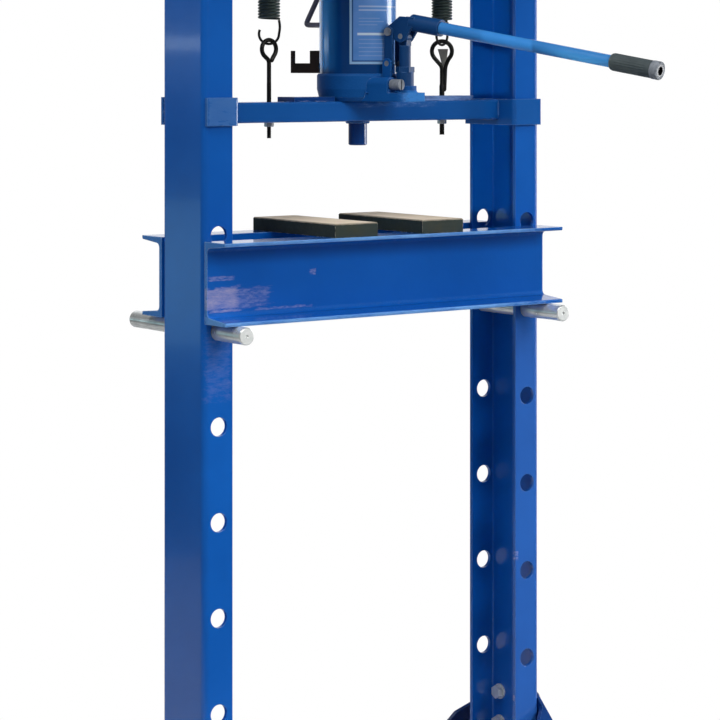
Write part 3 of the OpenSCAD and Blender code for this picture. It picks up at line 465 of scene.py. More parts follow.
# %% Finish helpers
def finish_base(name, roughness=0.4, metallic=0.0, specular=0.5, coat=0.0, coat_roughness=0.05):
    """A material whose first node is a Principled shader. Values that are the
    same all over are set on the shader's own sockets."""
    mat = bpy.data.materials.new(name)
    new_tree(mat)
    shader = add("BsdfPrincipled", {
        "Roughness": roughness, "Metallic": metallic, "Specular IOR Level": specular,
        "Coat Weight": coat, "Coat Roughness": coat_roughness})
    add("OutputMaterial", {"Surface": shader.outputs[0]})
    return mat


def group(which, **inputs):
    """Outputs of a shared effect that is placed with its own values."""
    return add("Group", inputs, node_tree=which).outputs


def cloud(scale, low=0.3, high=0.7, stretch=(1, 1, 1)):
    """Output socket of the cloud effect."""
    return group(CLOUD, Scale=scale, Low=low, High=high, Stretch=stretch)["Value"]


def mixed(mask, a, b):
    """Colour a where the mask is 0 and b where it is 1. Either is an output
    socket or screen values (r, g, b)."""
    a, b = (c if isinstance(c, bpy.types.NodeSocket) else srgb(*c) for c in (a, b))
    return add("Mix", {0: mask, 6: a, 7: b}, data_type="RGBA").outputs[2]


def bump(height, strength, depth, **normal):
    """A Bump node's normal from a height, on top of a Normal where one is given."""
    inputs = {"Height": height, "Strength": strength, "Distance": depth, **normal}
    return add("Bump", inputs).outputs["Normal"]


def dress(mat, colour, rough, normal=None):
    """Links what changes from place to place to the material's shader."""
    for key, value in (("Base Color", colour), ("Roughness", rough), ("Normal", normal)):
        if value is not None:
            feed(value, mat.node_tree.nodes[0].inputs[key])
    return mat


print("finish helpers ready")


# %% [markdown]
# ## Blue enamel
# The frame is sprayed in a deep, glossy blue. Up close the tone drifts a
# little, the film is slightly wavy, corners are rounded and worn to a pale
# blue, and parts that slide or get knocked have hazy scuffs. Every rounded
# edge also gets a painted highlight, a pale blue line, and a few patches are
# painted highlights and a painted reflection. One builder makes every blue,
# with its own tone, gloss, waviness, edge highlight and patches.

# %% Enamel builder
# The third colour is a painted edge highlight; the first is the haze of scuffs and of a painted
# reflection, the second bare worn paint.
HAZE, BARE, PAINTED_EDGE_HIGHLIGHT = (176, 170, 206), (150, 186, 234), (134, 184, 246)


def enamel(name, light, deep, wear=0.35, rubs_and_highlights=(), wave=0.25, wave_scale=240.0, roughness=0.16,
           specular=0.45, coat=0.35, edge_highlight_amount=0.28, edge_width=0.0011, haze_tone=HAZE):
    """Blue paint: cloudy tone, rubbed haze, worn corners and a wavy film, with a
    painted highlight along every rounded edge. A patch is (centre, size, grain,
    strength, fill), in millimetres, and may have a colour; most are rubbed paint,
    and some are painted highlights and a painted reflection."""
    mat = finish_base(name, roughness, 0.0, specular, coat, 0.06)
    tone = cloud(5.0)
    corner = group(CORNER, Width=edge_width, Bare=wear)
    colour = mixed(tone, deep, light)
    # painted edge highlight: pale blue along every rounded edge, by the edge amount
    colour = mixed(times(corner["Edge"], edge_highlight_amount), colour, PAINTED_EDGE_HIGHLIGHT)
    rough = rise(roughness, 0.05, tone)
    haze = 0.0
    for centre, size, grain, strength, fill, *own in rubs_and_highlights:
        patch = group(RAGGED_PATCH, Centre=[c * MM for c in centre], Size=[s * MM for s in size],
                      Grain=grain, Fill=fill)
        part = times(patch["Mask"], strength)
        colour = mixed(part, colour, own[0] if own else haze_tone)
        haze = sums("MAXIMUM", haze, part)
    colour = mixed(corner["Wear"], colour, BARE)
    rough = rise(rise(rough, 0.4, haze, True), 0.3, corner["Wear"], True)
    film = noise(coords(), wave_scale, 2.0)
    return dress(mat, colour, rough, bump(film, wave, 0.0004, Normal=corner["Normal"]))


# %% The blues of the press
# pale blue for the painted edge highlights on the bed
PALE_EDGE_HIGHLIGHT = (118, 178, 240)
post_rubs_and_pin_reflection = [
    # painted reflection: lavender haze on the left post's front flange below the bed pin, standing
    # for the pin mirrored in the gloss
    ((-284, -56, 790), (34, 10, 75), 160, 0.24, 0.02),
    ((262, -54, 461), (6, 10, 12), 90, 1.0, 0.0),
    ((262, -50, 240), (5, 8, 8), 90, 0.9, 0.0),
    ((284, -56, 420), (50, 4, 500), 40, 0.1, 1.0, (128, 150, 205))]
bed_rubs_and_edge_highlights = [
    ((-284, -58, 886.5), (44, 12, 23), 210, 0.84, 0.16),
    ((-240, -58, 886), (60, 12, 23), 240, 0.5, 0.05),
    ((-284, -58, 915), (34, 12, 5), 240, 0.8, 0.04),
    ((-127, -58, 917), (9, 12, 7), 300, 0.9, 0.0),
    ((-275, -58, 869), (40, 12, 2.5), 240, 1.0, 0.12),
    ((-180, -58, 869), (80, 12, 3), 240, 0.8, 0.0),
    # painted highlights: pale lines along the bed's top and bottom front edges and on the lower
    # flange's left end
    ((-100, -110.8, 964), (550, 2, 7), 60, 0.8, 0.2, PALE_EDGE_HIGHLIGHT),
    ((-100, -110.8, 855), (550, 2, 7), 60, 0.7, 0.2, PALE_EDGE_HIGHLIGHT),
    ((-308, -85, 856), (2, 35, 8), 60, 0.6, 0.2, PALE_EDGE_HIGHLIGHT)]
strap_rubs_and_bar_highlight = [
    ((-281, -62, 1150), (40, 12, 34), 14, 0.3, 0.24),
    # painted highlight: a pale strip on top of the platform bar right of the jack, mixed with
    # chipped paint
    ((60, -25, 1157), (120, 6, 8), 120, 0.6, 0.0)]
# painted highlight: brighter blue over the jack's toe, broken up like worn paint
cast_toe_highlight_and_wear = [((36, -85, 1168), (50, 45, 14), 260, 0.8, 0.3, (60, 140, 220))]
# painted highlight: a pale patch on the stop plates right of the jack, mixed with chipped paint
stop_highlight_and_wear = [((155, 0, 1172), (80, 120, 30), 60, 0.8, 0.1)]
FRAME_TONES = (12, 100, 196), (8, 88, 178)
PLATE_TONES = (10, 66, 140), (6, 52, 116)
frame_blue = enamel("post_enamel", *FRAME_TONES, 0.30, post_rubs_and_pin_reflection)
bed_blue = enamel("bed_enamel", *FRAME_TONES, 0.45, bed_rubs_and_edge_highlights, wave=0.35, edge_highlight_amount=0.9, edge_width=0.0024)
platform_blue = enamel("platform_enamel", (20, 96, 178), (14, 86, 164), 0.5, strap_rubs_and_bar_highlight,
                       edge_highlight_amount=0.5, edge_width=0.0015, haze_tone=(104, 152, 212))
# painted shade: the feet and the ram nose take the darker plate blue for the shade they stand in
shaded_foot_blue = enamel("shaded_foot_enamel", *PLATE_TONES, 0.35)
stop_blue = enamel("stop_plate_enamel", *PLATE_TONES, 0.5, stop_highlight_and_wear, haze_tone=(150, 190, 250))
jack_blue = enamel("jack_enamel", (6, 66, 128), (4, 54, 112), 0.3, wave=0.12, roughness=0.1,
                   coat=0.6)
cast_blue = enamel("casting_enamel", (17, 95, 170), (6, 64, 128), 0.5, cast_toe_highlight_and_wear, wave=0.9,
                   wave_scale=320.0, roughness=0.5, specular=0.14, coat=0.0)
pump_blue = enamel("pump_enamel", (18, 72, 128), (12, 58, 110), 0.3, wave=0.3,
                   roughness=0.42, specular=0.25, coat=0.0)
handle_blue = enamel("handle_enamel", (70, 148, 220), (48, 132, 210), 0.3, wave=0.15,
                     roughness=0.2)
print("enamels:", [m.name for m in bpy.data.materials if "enamel" in m.name])


# %% [markdown]
# ## Bare and plated metal
# The pins, bolts and nuts are zinc plated: bright, slightly cloudy, with fine
# turned lines. The ram is ground steel, so its lines run round it. The press
# plates are sawn blocks: their ground tops have a warm tan skin of oil, painted
# near white for the light and grazing reflection they catch, and their sides
# keep a dark scale. Springs and hooks are oil-black.

# %% Metals
def zinc_plate(name="zinc_plating", tone=(250, 252, 250), dull=(222, 226, 224),
               metallic=0.55, specular=0.5, smoothest=0.14):
    """Zinc: cloudy tone, and fine lines in the normal. Faces across y, the
    sawn ends of the pins, are matt instead of mirror-like."""
    mat = finish_base(name, 0.3, metallic, specular)
    across = sums("ABSOLUTE", xyz(coords("Normal"))["Y"], 0.0)
    feed(ramp(across, 0.85, 0.98, metallic, 0.0), mat.node_tree.nodes[0].inputs["Metallic"])
    cloudy = cloud(60.0, low=0.35)
    lines = cloud(900.0, stretch=(1, 0.06, 1))
    soft = group(CORNER, Width=0.0008, Bare=0.6)["Normal"]
    return dress(mat, mixed(cloudy, tone, dull), rise(smoothest, 0.14, cloudy),
                 bump(lines, 0.12, 0.0002, Normal=soft))


def ground_steel(name="ground_steel"):
    """Ground bar: lines round the axis, from noise that is fine along Z only."""
    mat = finish_base(name, 0.2, 1.0)
    lines = cloud(500.0, stretch=(0.02, 0.02, 1))
    oil = cloud(30.0, 0.4, 0.75)
    return dress(mat, mixed(oil, (190, 190, 188), (150, 146, 138)),
                 rise(0.14, 0.14, lines), bump(lines, 0.08, 0.0001))


def sawn_plate(name="press_plate_steel"):
    """Press plates: tan skin on faces that look up, painted near white for the
    light they catch, and dark scale on the sides.
    """
    mat = finish_base(name, 0.7, 0.0, 0.2)
    top = ramp(xyz(coords("Normal"))["Z"], 0.6, 0.9)
    cloudy = cloud(22.0, stretch=(1, 0.35, 1))
    sawn = cloud(260.0, stretch=(0.08, 1, 1))
    corner = group(CORNER, Width=0.0013, Bare=0.8)
    # painted light: the up-facing tan is near white, standing for the light and grazing reflection
    # on the tops
    skin = mixed(cloudy, (250, 232, 206), (236, 214, 184))
    skin = mixed(times(sawn, 0.35), skin, (214, 190, 158))
    scale = mixed(cloudy, (38, 58, 60), (58, 62, 52))
    colour = mixed(top, scale, skin)
    colour = mixed(times(corner["Wear"], 0.8), colour, (206, 198, 180))
    return dress(mat, colour, rise(0.5, 0.25, sawn),
                 bump(sawn, 0.25, 0.0004, Normal=corner["Normal"]))


def dark_steel(name, tone, dull, roughness=0.34, metallic=0.6):
    """Oil-black or browned steel: cloudy tone, satin sheen and bright worn corners."""
    mat = finish_base(name, roughness, metallic)
    cloudy, grain = cloud(45.0), cloud(400.0)
    corner = group(CORNER, Width=0.0006, Bare=0.5)
    colour = mixed(cloudy, tone, dull)
    colour = mixed(times(corner["Wear"], 0.5), colour, (120, 118, 112))
    return dress(mat, colour, rise(roughness, 0.15, cloudy),
                 bump(grain, 0.15, 0.0002, Normal=corner["Normal"]))


def rubber(name, tone, dull):
    """Rubber: matt, faintly mottled, with a fine grain."""
    mat = finish_base(name, 0.6, 0.0, 0.35)
    cloudy, grain = cloud(35.0), cloud(900.0)
    return dress(mat, mixed(cloudy, tone, dull), rise(0.5, 0.2, grain), bump(grain, 0.3, 0.0003))


zinc = zinc_plate()
dull_zinc = zinc_plate("dull_zinc", (150, 156, 164), (104, 110, 120), 0.0, 0.08, 0.5)
ram_steel = ground_steel()
plate_steel = sawn_plate()
spring_black = dark_steel("spring_oil_black", (78, 96, 90), (54, 66, 62), 0.3, 0.5)
wire_black = dark_steel("wire_oil_black", (26, 26, 20), (40, 38, 32), 0.32, 0.5)
handle_wire = dark_steel("carry_wire_grey", (136, 134, 146), (106, 104, 116), 0.4, 0.2)
flat_grey = dark_steel("forged_grey", (126, 124, 116), (92, 90, 82), 0.45, 0.1)
rest_brown = dark_steel("rest_browned", (44, 32, 20), (62, 44, 36), 0.5, 0.2)
grip_rubber = rubber("grip_rubber", (82, 94, 96), (66, 76, 80))
seal_rubber = rubber("seal_rubber", (30, 30, 32), (22, 22, 24))
print("metals and rubber ready")


# %% [markdown]
# ## Finishing the solids
# Plates, channels, bars and castings keep their solid shapes, and only get
# their finish, from a table of names.

# %% Give each solid its finish
FINISH = {
    frame_blue: "left_post right_post head_front_channel head_rear_channel head_thrust_plate "
                "rear_tie",
    bed_blue: "bed_front_channel bed_rear_channel bed_cross_plates",
    platform_blue: "platform_bar guide_strap_left guide_strap_right",
    shaded_foot_blue: "left_foot right_foot ram_nose",
    stop_blue: "jack_stop_plates",
    jack_blue: "reservoir jack_top_cap",
    cast_blue: "jack_base",
    pump_blue: "pump_barrel link_plates handle_socket pump_plunger",
    handle_blue: "handle_bar",
    zinc: "head_bolts head_nuts foot_bolts foot_washers foot_nuts tie_bolts tie_nuts "
          "bed_pin_left bed_pin_right spring_rods spring_rod_nuts eye_nuts valve_balls "
          "jack_saddle",
    dull_zinc: "fulcrum_pin link_lower_pin plunger_pin release_valve handle_end_ring",
    ram_steel: "pressure_cylinder jack_ram",
    plate_steel: "press_plate_left press_plate_right",
    spring_black: "spring_left spring_right",
    wire_black: "upper_spring_hooks lower_spring_hooks eye_bolt_left eye_bolt_right",
    handle_wire: "carry_handle",
    rest_brown: "handle_rest",
    grip_rubber: "handle_grip",
    seal_rubber: "ram_seal filler_plug",
}
for finish, names in FINISH.items():
    for name in names.split():
        nodes[name].material_slots[0].material = finish
print("finished solids:", sum(len(n.split()) for n in FINISH.values()), "of", len(nodes))


# %% [markdown]
# ## Return springs
# Two close-wound springs lift the platform. A coil is a circle carried along
# a helix: R cos a, R sin a, with height growing evenly with the angle. Each
# coil fills the box of the solid spring it replaces and is attached to no body.

# %% Coil path
WIRE = 3.8 * MM
TURNS = 40
SPRING_TURN = {"left": -36, "right": 17}


def spring_x(side):
    """The x of a spring's middle line."""
    lo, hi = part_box(f"spring_{side}")
    return (lo.x + hi.x) / 2


def coil_points(lo, hi, turn):
    """Path of a coil that fills a CAD spring's box, and the outward direction
    at each point. It starts at the angle of its hooks."""
    x, y = (lo.x + hi.x) / 2, (lo.y + hi.y) / 2
    r = (hi.x - lo.x) / 2 - WIRE / 2
    t = np.linspace(0, 1, TURNS * 30 + 1)
    a = 2 * np.pi * TURNS * t + math.radians(turn)
    z = lo.z + WIRE / 2 + (hi.z - lo.z - WIRE) * t
    return rings(r, a, z) + (x, y, 0), rings(1, a, 0)


for side, turn in SPRING_TURN.items():
    lo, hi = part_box(f"spring_{side}")
    coil = piece(f"coil_spring_{side}", wire(*coil_points(lo, hi, turn), WIRE / 2, 10),
                 spring_black, None, [f"spring_{side}"])
    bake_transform(coil)


# %% [markdown]
# ## Spring hooks
# The last turn of each spring is bent out into an open hook as wide as the
# coil. The lower one hangs in an eye bolt and the upper one on a rod. A hook
# is a straight leg, bowed out a little, and then most of a circle.

# %% Hook wires
COIL_R = 14.6 * MM
SWEEP = math.radians(205)


def upright_ring(r, a):
    """Points r cos a, r sin a in the XZ plane."""
    return np.stack([r * np.cos(a), 0 * a, r * np.sin(a)], 1)


def hook_wire(leg, bow=1.2 * MM):
    """Hook in the XZ plane: down a leg at x = r, then clockwise round the
    circle. The bow adds the sine of the way along the leg to x."""
    t = np.linspace(0, 1, 14)[:-1]
    down = np.stack([COIL_R + bow * np.sin(np.pi * t), 0 * t, leg * (1 - t)], 1)
    a = np.linspace(0, -SWEEP, 60)
    return np.concatenate([down, upright_ring(COIL_R, a)])


def hooks(node, upper):
    """Both hooks at one end of the springs, inside that CAD node's box."""
    lo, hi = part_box(node)
    parts = []
    for side, turn in SPRING_TURN.items():
        low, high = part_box(f"spring_{side}")
        z = hi.z - WIRE / 2 - COIL_R if upper else lo.z + WIRE / 2 + COIL_R
        path = hook_wire(z - high.z if upper else low.z - z) * (1, 1, -1 if upper else 1)
        path = turn_z(path, turn) + (spring_x(side), 0, z)
        parts.append(wire(path, turn_z((0, 1 if upper else -1, 0), turn), WIRE / 2))
    return joined(parts)


for name, body in (("lower", "platform"), ("upper", "frame")):
    piece(f"{name}_hooks", hooks(f"{name}_spring_hooks", name == "upper"), wire_black, body,
          [f"{name}_spring_hooks"])


# %% [markdown]
# ## Threads, nuts and bolt heads
# A thread's radius is a triangle wave of height over pitch minus the part of
# a turn, which winds the ridge into a helix. A hexagon's radius is half the
# width over the cosine of the angle from the nearest flat, and the smaller
# of that and a cone gives the rounded corners of a real nut.

# %% Thread and hexagon
ACROSS = 1.55


def thread(length, diameter, pitch, cols=20):
    """Threaded rod along +Z. The ridge fades out at both ends, and the top tapers."""
    rows = int(round(length / pitch * 6)) + 1
    z, a = np.linspace(0, length, rows)[:, None], around(cols)
    wave = np.abs(2 * ((z / pitch - a / (2 * np.pi)) % 1) - 1)
    fade = np.clip(np.minimum(z, length - z) / pitch, 0, 1)
    taper = np.clip(1 - (length - z) / (0.8 * pitch), 0, 1) * 0.6 * pitch
    return closed_grid(rings(diameter / 2 - 0.54 * pitch * wave * fade - taper, a, z))


def hexagon(across, height, chamfer_low, chamfer_high, cols=48):
    """Hexagonal prism along +Z with coned corners at either end."""
    z = height * np.array([0, 0.05, 0.1, 0.15, 0.85, 0.9, 0.95, 1.0])[:, None]
    a = around(cols)
    flat = across / 2 / np.cos((a + np.pi / 6) % (np.pi / 3) - np.pi / 6)
    cone = across / 2 * 0.96 + 1.7 * np.minimum(z if chamfer_low else height,
                                                (height - z) if chamfer_high else height)
    return closed_grid(rings(np.minimum(flat, cone), a, z))


def bolt_set(d, pitch, length, grip):
    """Bolt along +Z from under its head, and its nut, each as a list of
    parts: ACROSS times d over the flats, the head 0.6 d and the nut 0.8 d high."""
    across, under = ACROSS * d, (0, 0, -0.05 * d)
    washer_face = closed_grid(turned([(across * 0.46, 0), (across * 0.46, 0.05 * d)]))
    bolt = [placed(hexagon(across, 0.6 * d, True, False), "-z", under),
            placed(washer_face, "+z", under), thread(length, d, pitch)]
    return bolt, [placed(hexagon(across, 0.8 * d, True, True), "+z", (0, 0, grip))]


def fasteners(name, places, *sizes):
    """A set of like bolts and their nuts. places are (x, y, z, axis) of each
    head's underside, and the sizes go to bolt_set in millimetres."""
    bolt, nut = bolt_set(*(size * MM for size in sizes))
    for parts, look, node in ((bolt, "threaded", "bolts"), (nut, "hexagons", "nuts")):
        made = joined([placed(part, axis, at) for *at, axis in places for part in parts])
        piece(f"{name}_bolt_{look}", made, zinc, "frame", [f"{name}_{node}"], 30)


print("thread and hexagon ready")


# %% Bolts of the head, the feet and the tie
SIDES, HOLE_X = (-1, 1), 283 * MM


def head_places(web_y=62 * MM):
    """Head bolts point inwards through the channels and the posts, in two
    rows. The nuts' box gives the rows, half a corner inside it."""
    lo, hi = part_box("head_nuts")
    half = ACROSS * 16 * MM / 2 / math.cos(math.radians(30))
    return [(sx * HOLE_X, sy * web_y, z, "-y" if sy > 0 else "+y")
            for sx in SIDES for sy in SIDES for z in (lo.z + half, hi.z - half)]


def foot_places(side_y=32 * MM, rows=(178 * MM, 227 * MM), washer=2.5 * MM):
    """Foot bolts point outwards through post and foot, over their washers."""
    x = abs(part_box("foot_washers")[1].x) - washer
    return [(sx * x, sy * side_y, z, "+x" if sx > 0 else "-x")
            for sx in SIDES for sy in SIDES for z in rows]


def tie_places(y=61 * MM):
    """Tie bolts point forwards through the angle bar and the posts."""
    lo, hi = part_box("tie_nuts")
    return [(sx * HOLE_X, y, (lo.z + hi.z) / 2, "-y") for sx in SIDES]


fasteners("head", head_places(), 16, 2.0, 28, 12)
fasteners("foot", foot_places(), 12, 1.75, 25.5, 13.5)
fasteners("tie", tie_places(), 12, 1.75, 23, 11)


# %% [markdown]
# ## Eye bolts
# An eye bolt is one bar: a threaded shank, an eye bent round like a
# teardrop, and a tail beside the shank. Its middle line is straight runs and
# one arc in a plane, rounded off where they meet by averaging neighbours.

# %% Teardrop eye
EYE_BAR = 6.5 * MM


def smoothed(path, count):
    """Averages each inner point with its two neighbours, several times."""
    path = path.copy()
    for _ in range(count):
        path[1:-1] = 0.25 * path[:-2] + 0.5 * path[1:-1] + 0.25 * path[2:]
    return path


def evenly(points, step):
    """Points at an even step along a broken line."""
    points = np.asarray(points, float)
    far = np.concatenate([[0], np.cumsum(np.linalg.norm(np.diff(points, axis=0), axis=1))])
    at = np.linspace(0, far[-1], int(far[-1] / step) + 1)
    return np.stack([np.interp(at, far, line) for line in points.T], 1)


def eye_bolt(side, turn, neck, tail, shank, eye_r, cut=30 * MM, join=36 * MM):
    """Threaded shank and teardrop eye in a plane turned about the bolt. The
    thread is cut from the foot, and a plain shank joins it to the bar."""
    lo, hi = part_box(f"eye_bolt_{side}")
    x, zc = spring_x(side), hi.z - eye_r - EYE_BAR / 2
    arc = upright_ring(eye_r, np.radians(np.linspace(222, -52, 70)))
    start = [[0, 0, -eye_r - 38 * MM], [0, 0, -eye_r - neck]]
    end = [[5.2 * MM, 0, -eye_r - min(8 * MM, 0.6 * tail)], [3.6 * MM, 0, -eye_r - tail]]
    path = smoothed(evenly(start + arc.tolist() + end, 1.2 * MM), 10)
    t = np.linspace(0, 1, len(path))
    r = EYE_BAR / 2 * np.clip((1 - t) / 0.012, 0.45, 1) ** 0.5
    loop = wire(turn_z(path, turn) + (x, 0, zc), turn_z((0, -1, 0), turn), r, 14)
    rod = placed(thread(cut, shank, 1.25 * MM), "+z", (x, 0, lo.z))
    plain = zc - eye_r - join - lo.z - cut
    profile = [(shank / 2 - 0.6 * MM, 0), (shank / 2, 1 * MM), (shank / 2, plain - 2 * MM),
               (EYE_BAR / 2 - 0.1 * MM, plain + 4 * MM)]
    neck_bar = closed_grid(turned(profile, 24) + (x, 0, lo.z + cut - 0.4 * MM))
    return joined([loop, rod, neck_bar])


def fish_tail(turn=-36, eye_r=15.6 * MM, top=3.5 * MM, low=-44 * MM, closes=-24 * MM,
              wide=8 * MM, narrow=3.4 * MM):
    """The forged strip in the right eye: a flat bar whose half width grows as
    the power 1.3 of the height above the place where the eye closes."""
    z = np.linspace(low, top, 40)[:, None]
    grown = np.clip((z - closes) / (top - closes), 0, 1) ** 1.3
    half, aside = narrow + (wide - narrow) * grown, (3.4 - 2.0 * grown) * MM
    across, deep = np.cos(around(32)), np.sin(around(32))
    flat, thick = (np.sign(v) * np.abs(v) ** power for v, power in ((across, 0.4), (deep, 0.6)))
    shape = np.stack(np.broadcast_arrays(aside + half * flat, 1.7 * MM * thick, z), -1)
    at = (spring_x("right"), 0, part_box("eye_bolt_right")[1].z - eye_r - EYE_BAR / 2)
    return closed_grid(turn_z(shape, turn) + at)


def eye_hexagons():
    """Nuts under the platform bar, one on each eye bolt."""
    lo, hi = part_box("eye_nuts")
    nut = hexagon(12.4 * MM, hi.z - lo.z, True, True)
    return joined([placed(nut, "+z", (spring_x(side), 0, lo.z)) for side in SPRING_TURN])


for side, turn, *sizes in (("left", 5, 3, 5, 6.6, 13.5), ("right", -36, 8, 46, 8, 15.6)):
    piece(f"eye_bar_{side}", eye_bolt(side, turn, *(size * MM for size in sizes)), wire_black,
          "platform", [f"eye_bolt_{side}"])
piece("eye_tail_right", fish_tail(), flat_grey, "platform")
piece("eye_hexagons", eye_hexagons(), zinc, "platform", ["eye_nuts"], 30)


# %% [markdown]
# ## Weld beads
# Where plates and bars meet, the press is welded. A bead is a ridge whose
# size rises and falls along it, one ripple for each move of the welder's
# hand: r = r0 (1 + 0.12 sin(2 pi distance / ripple)), plus a slower drift.
# Under the paint the ripples catch small bright lights.

# %% Beads
def bead(points, radius=1.9 * MM, ripple=2.4 * MM, up=(0, 0, 1), loop=False, cols=10):
    """A rippled bead along a line of corner points, with rounded ends."""
    path = evenly([*points, points[0]], ripple / 5)[:-1] if loop else evenly(points, ripple / 5)
    far = np.arange(len(path)) * ripple / 5
    drift = 0.05 * np.sin(far * 137.0 / radius * MM)
    r = radius * (1 + 0.12 * np.sin(2 * np.pi * far / ripple) + drift)
    if not loop:
        edge = np.minimum(far, far[-1] - far)
        r = r * np.sqrt(np.clip(edge / radius, 0.12, 1))
    return wire(path, up, r, cols, loop)


def upright_beads(xs, node, gap):
    """Beads up the corners of a node's box, short of its ends by the gap."""
    lo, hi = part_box(node)
    return [bead([(x, y, lo.z + gap), (x, y, hi.z - gap)], up=(1, 0, 0))
            for x in xs for y in (lo.y, hi.y)]


def platform_welds(inside=0.8 * MM, half=19 * MM):
    """Round the nose, and where the bar's ends meet the straps."""
    lo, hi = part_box("platform_bar")
    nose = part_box("ram_nose")
    r = (nose[1].x - nose[0].x) / 2
    parts = [bead(ring_points(r - 2.5 * MM, lo.z - 1.2 * MM), 2.4 * MM, loop=True)]
    for sx in SIDES:
        x = sx * (hi.x - inside)
        parts += [bead([(x, -half, z), (x, half, z)]) for z in (lo.z, hi.z)]
        parts += upright_beads([x], "platform_bar", 4 * MM)
    return joined(parts)


def stop_welds():
    """Stitches along the long edges of the plates that keep the jack in place."""
    lo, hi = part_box("jack_stop_plates")
    z = lo.z + 0.4 * MM
    stitches = ((-124, -104), (-94, -72), (80, 110), (135, 165), (175, 198))
    return joined([bead([(x0 * MM, y, z), (x1 * MM, y, z)], 1.8 * MM)
                   for y in (lo.y, hi.y) for x0, x1 in stitches])


def bed_welds(plate=8 * MM):
    """Up both sides of each plate that joins the two bed channels."""
    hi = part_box("bed_cross_plates")[1]
    xs = [sx * x for sx in SIDES for x in (hi.x, hi.x - plate)]
    return joined(upright_beads(xs, "bed_cross_plates", 5 * MM))


def head_welds(y=56 * MM, drop=1.2 * MM):
    """Along the thrust plate where the head channels sit on it, and round
    the cup that keeps the saddle in place."""
    lo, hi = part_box("head_thrust_plate")
    z = hi.z - drop
    parts = [bead([(x, sy * y, z), (x, sy * y * 1.6, z)]) for sy in SIDES for x in (lo.x, hi.x)]
    parts.append(bead(ring_points(33 * MM, hi.z - 16 * MM), 1.7 * MM, loop=True))
    return joined(parts)


piece("platform_welds", platform_welds(), platform_blue, "platform")
piece("stop_plate_welds", stop_welds(), stop_blue, "platform")
piece("bed_welds", bed_welds(), bed_blue, "frame")
piece("head_welds", head_welds(), frame_blue, "frame")


# %% [markdown]
# ## The pins
# A bed pin is a length of bright plated bar with a turned chamfer at each
# end. The profile is turned round Z and laid along Y. The lathe's centre
# marks are small hollows sunk in its ends.

# %% Turn the bed pins
def corner_arc(r, c, steps):
    """Profile of a rounded corner of size c."""
    return [(r - c + c * math.sin(b), c - c * math.cos(b))
            for b in np.radians(np.linspace(0, 90, steps))]


def mirrored(profile, length):
    """The same profile from the other end of a bar."""
    return [(r, length - z) for r, z in profile[::-1]]


def bed_pin(side, c=2 * MM, groove=0.04 * MM, flat=1 * MM):
    """Bar with rounded chamfers, faint turned grooves and centre marks."""
    lo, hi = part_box(f"bed_pin_{side}")
    r, length = (hi.z - lo.z) / 2, hi.y - lo.y
    end = [(0.8 * MM, 2.2 * MM), (2.6 * MM, 0.0), (r - c - 0.5 * MM, 0.0)] + corner_arc(r, c, 5)
    body = [(r - groove * (k % 2), c + flat + (length - 2 * c - 2 * flat) * k / 40)
            for k in range(41)]
    shape = closed_grid(turned(end + body + mirrored(end, length), 56))
    return placed(shape, "+y", ((lo.x + hi.x) / 2, lo.y, (lo.z + hi.z) / 2))


for side in ("left", "right"):
    piece(f"turned_pin_{side}", bed_pin(side), zinc, "frame", [f"bed_pin_{side}"])


# %% [markdown]
# ## The bottle jack
# The jack stands turned a little on the platform, so its parts are worked
# out in its own frame, with the pump towards -Y, and then turned and moved
# together. The carry handle is one bent rod, swept along a rounded path.

# %% Jack frame and carry handle
JACK_TURN = 17
JACK_FOOT = np.array([0, 0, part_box("jack_base")[0].z])
RES_R, PUMP_Y = 57.5 * MM, 87.4 * MM


def in_jack(points):
    """From the jack's own frame to the press: turn about Z, then lift."""
    return turn_z(points, JACK_TURN) + JACK_FOOT


def carry_rod(low=114 * MM, high=190 * MM, reach=100 * MM, d=8 * MM, sunk=1.5 * MM):
    """Bent rod welded to the back of the reservoir, in the YZ plane."""
    path = evenly([(0, RES_R - sunk, low), (0, reach - 1 * MM, low + 0.5 * MM),
                   (0, RES_R - sunk, high - 1 * MM)], 1.0 * MM)
    return wire(in_jack(smoothed(path, 36)), turn_z((1, 0, 0), JACK_TURN), d / 2, 16)


def carry_welds(r=4.6 * MM):
    """A small bead round each end of the rod, on the skin of the reservoir."""
    places = [(0, RES_R - 0.2 * MM, z * MM) for z in (114, 188.5)]
    return joined([wire(in_jack(upright_ring(r, around(26)) + place),
                        turn_z((0, 1, 0), JACK_TURN), 1.3 * MM, 8, True) for place in places])


piece("bent_carry_rod", carry_rod(), handle_wire, "platform", ["carry_handle"])
piece("carry_rod_welds", carry_welds(), jack_blue, "platform")


# %% [markdown]
# ## Cast details
# The jack's base is a sand casting, and a casting has generous fillets in
# its inner corners. A fillet is laid in as a quarter-round strip that leans
# on both faces. A hexagon plug closes an oil drilling.

# %% Fillets and plug
def fillet_ring(r, z, s, arc=(0, 360), centre=(0, 0), n=80, into=0.8 * MM):
    """A hollow-cornered ring, from (r + s, z) to (r, z + s) and a little way
    into both faces."""
    full = arc == (0, 360)
    a = np.radians(np.linspace(*arc, n, endpoint=not full))[:, None]
    b = np.radians(np.linspace(0, 90, 7))
    hr = np.concatenate([r + s - s * np.sin(b), [r - into, r - into, r + s]])
    hz = np.concatenate([z + s - s * np.cos(b), [z + s, z - into, z - into]])
    return closed_grid(in_jack(rings(hr, a, hz) + (*centre, 0)), full)


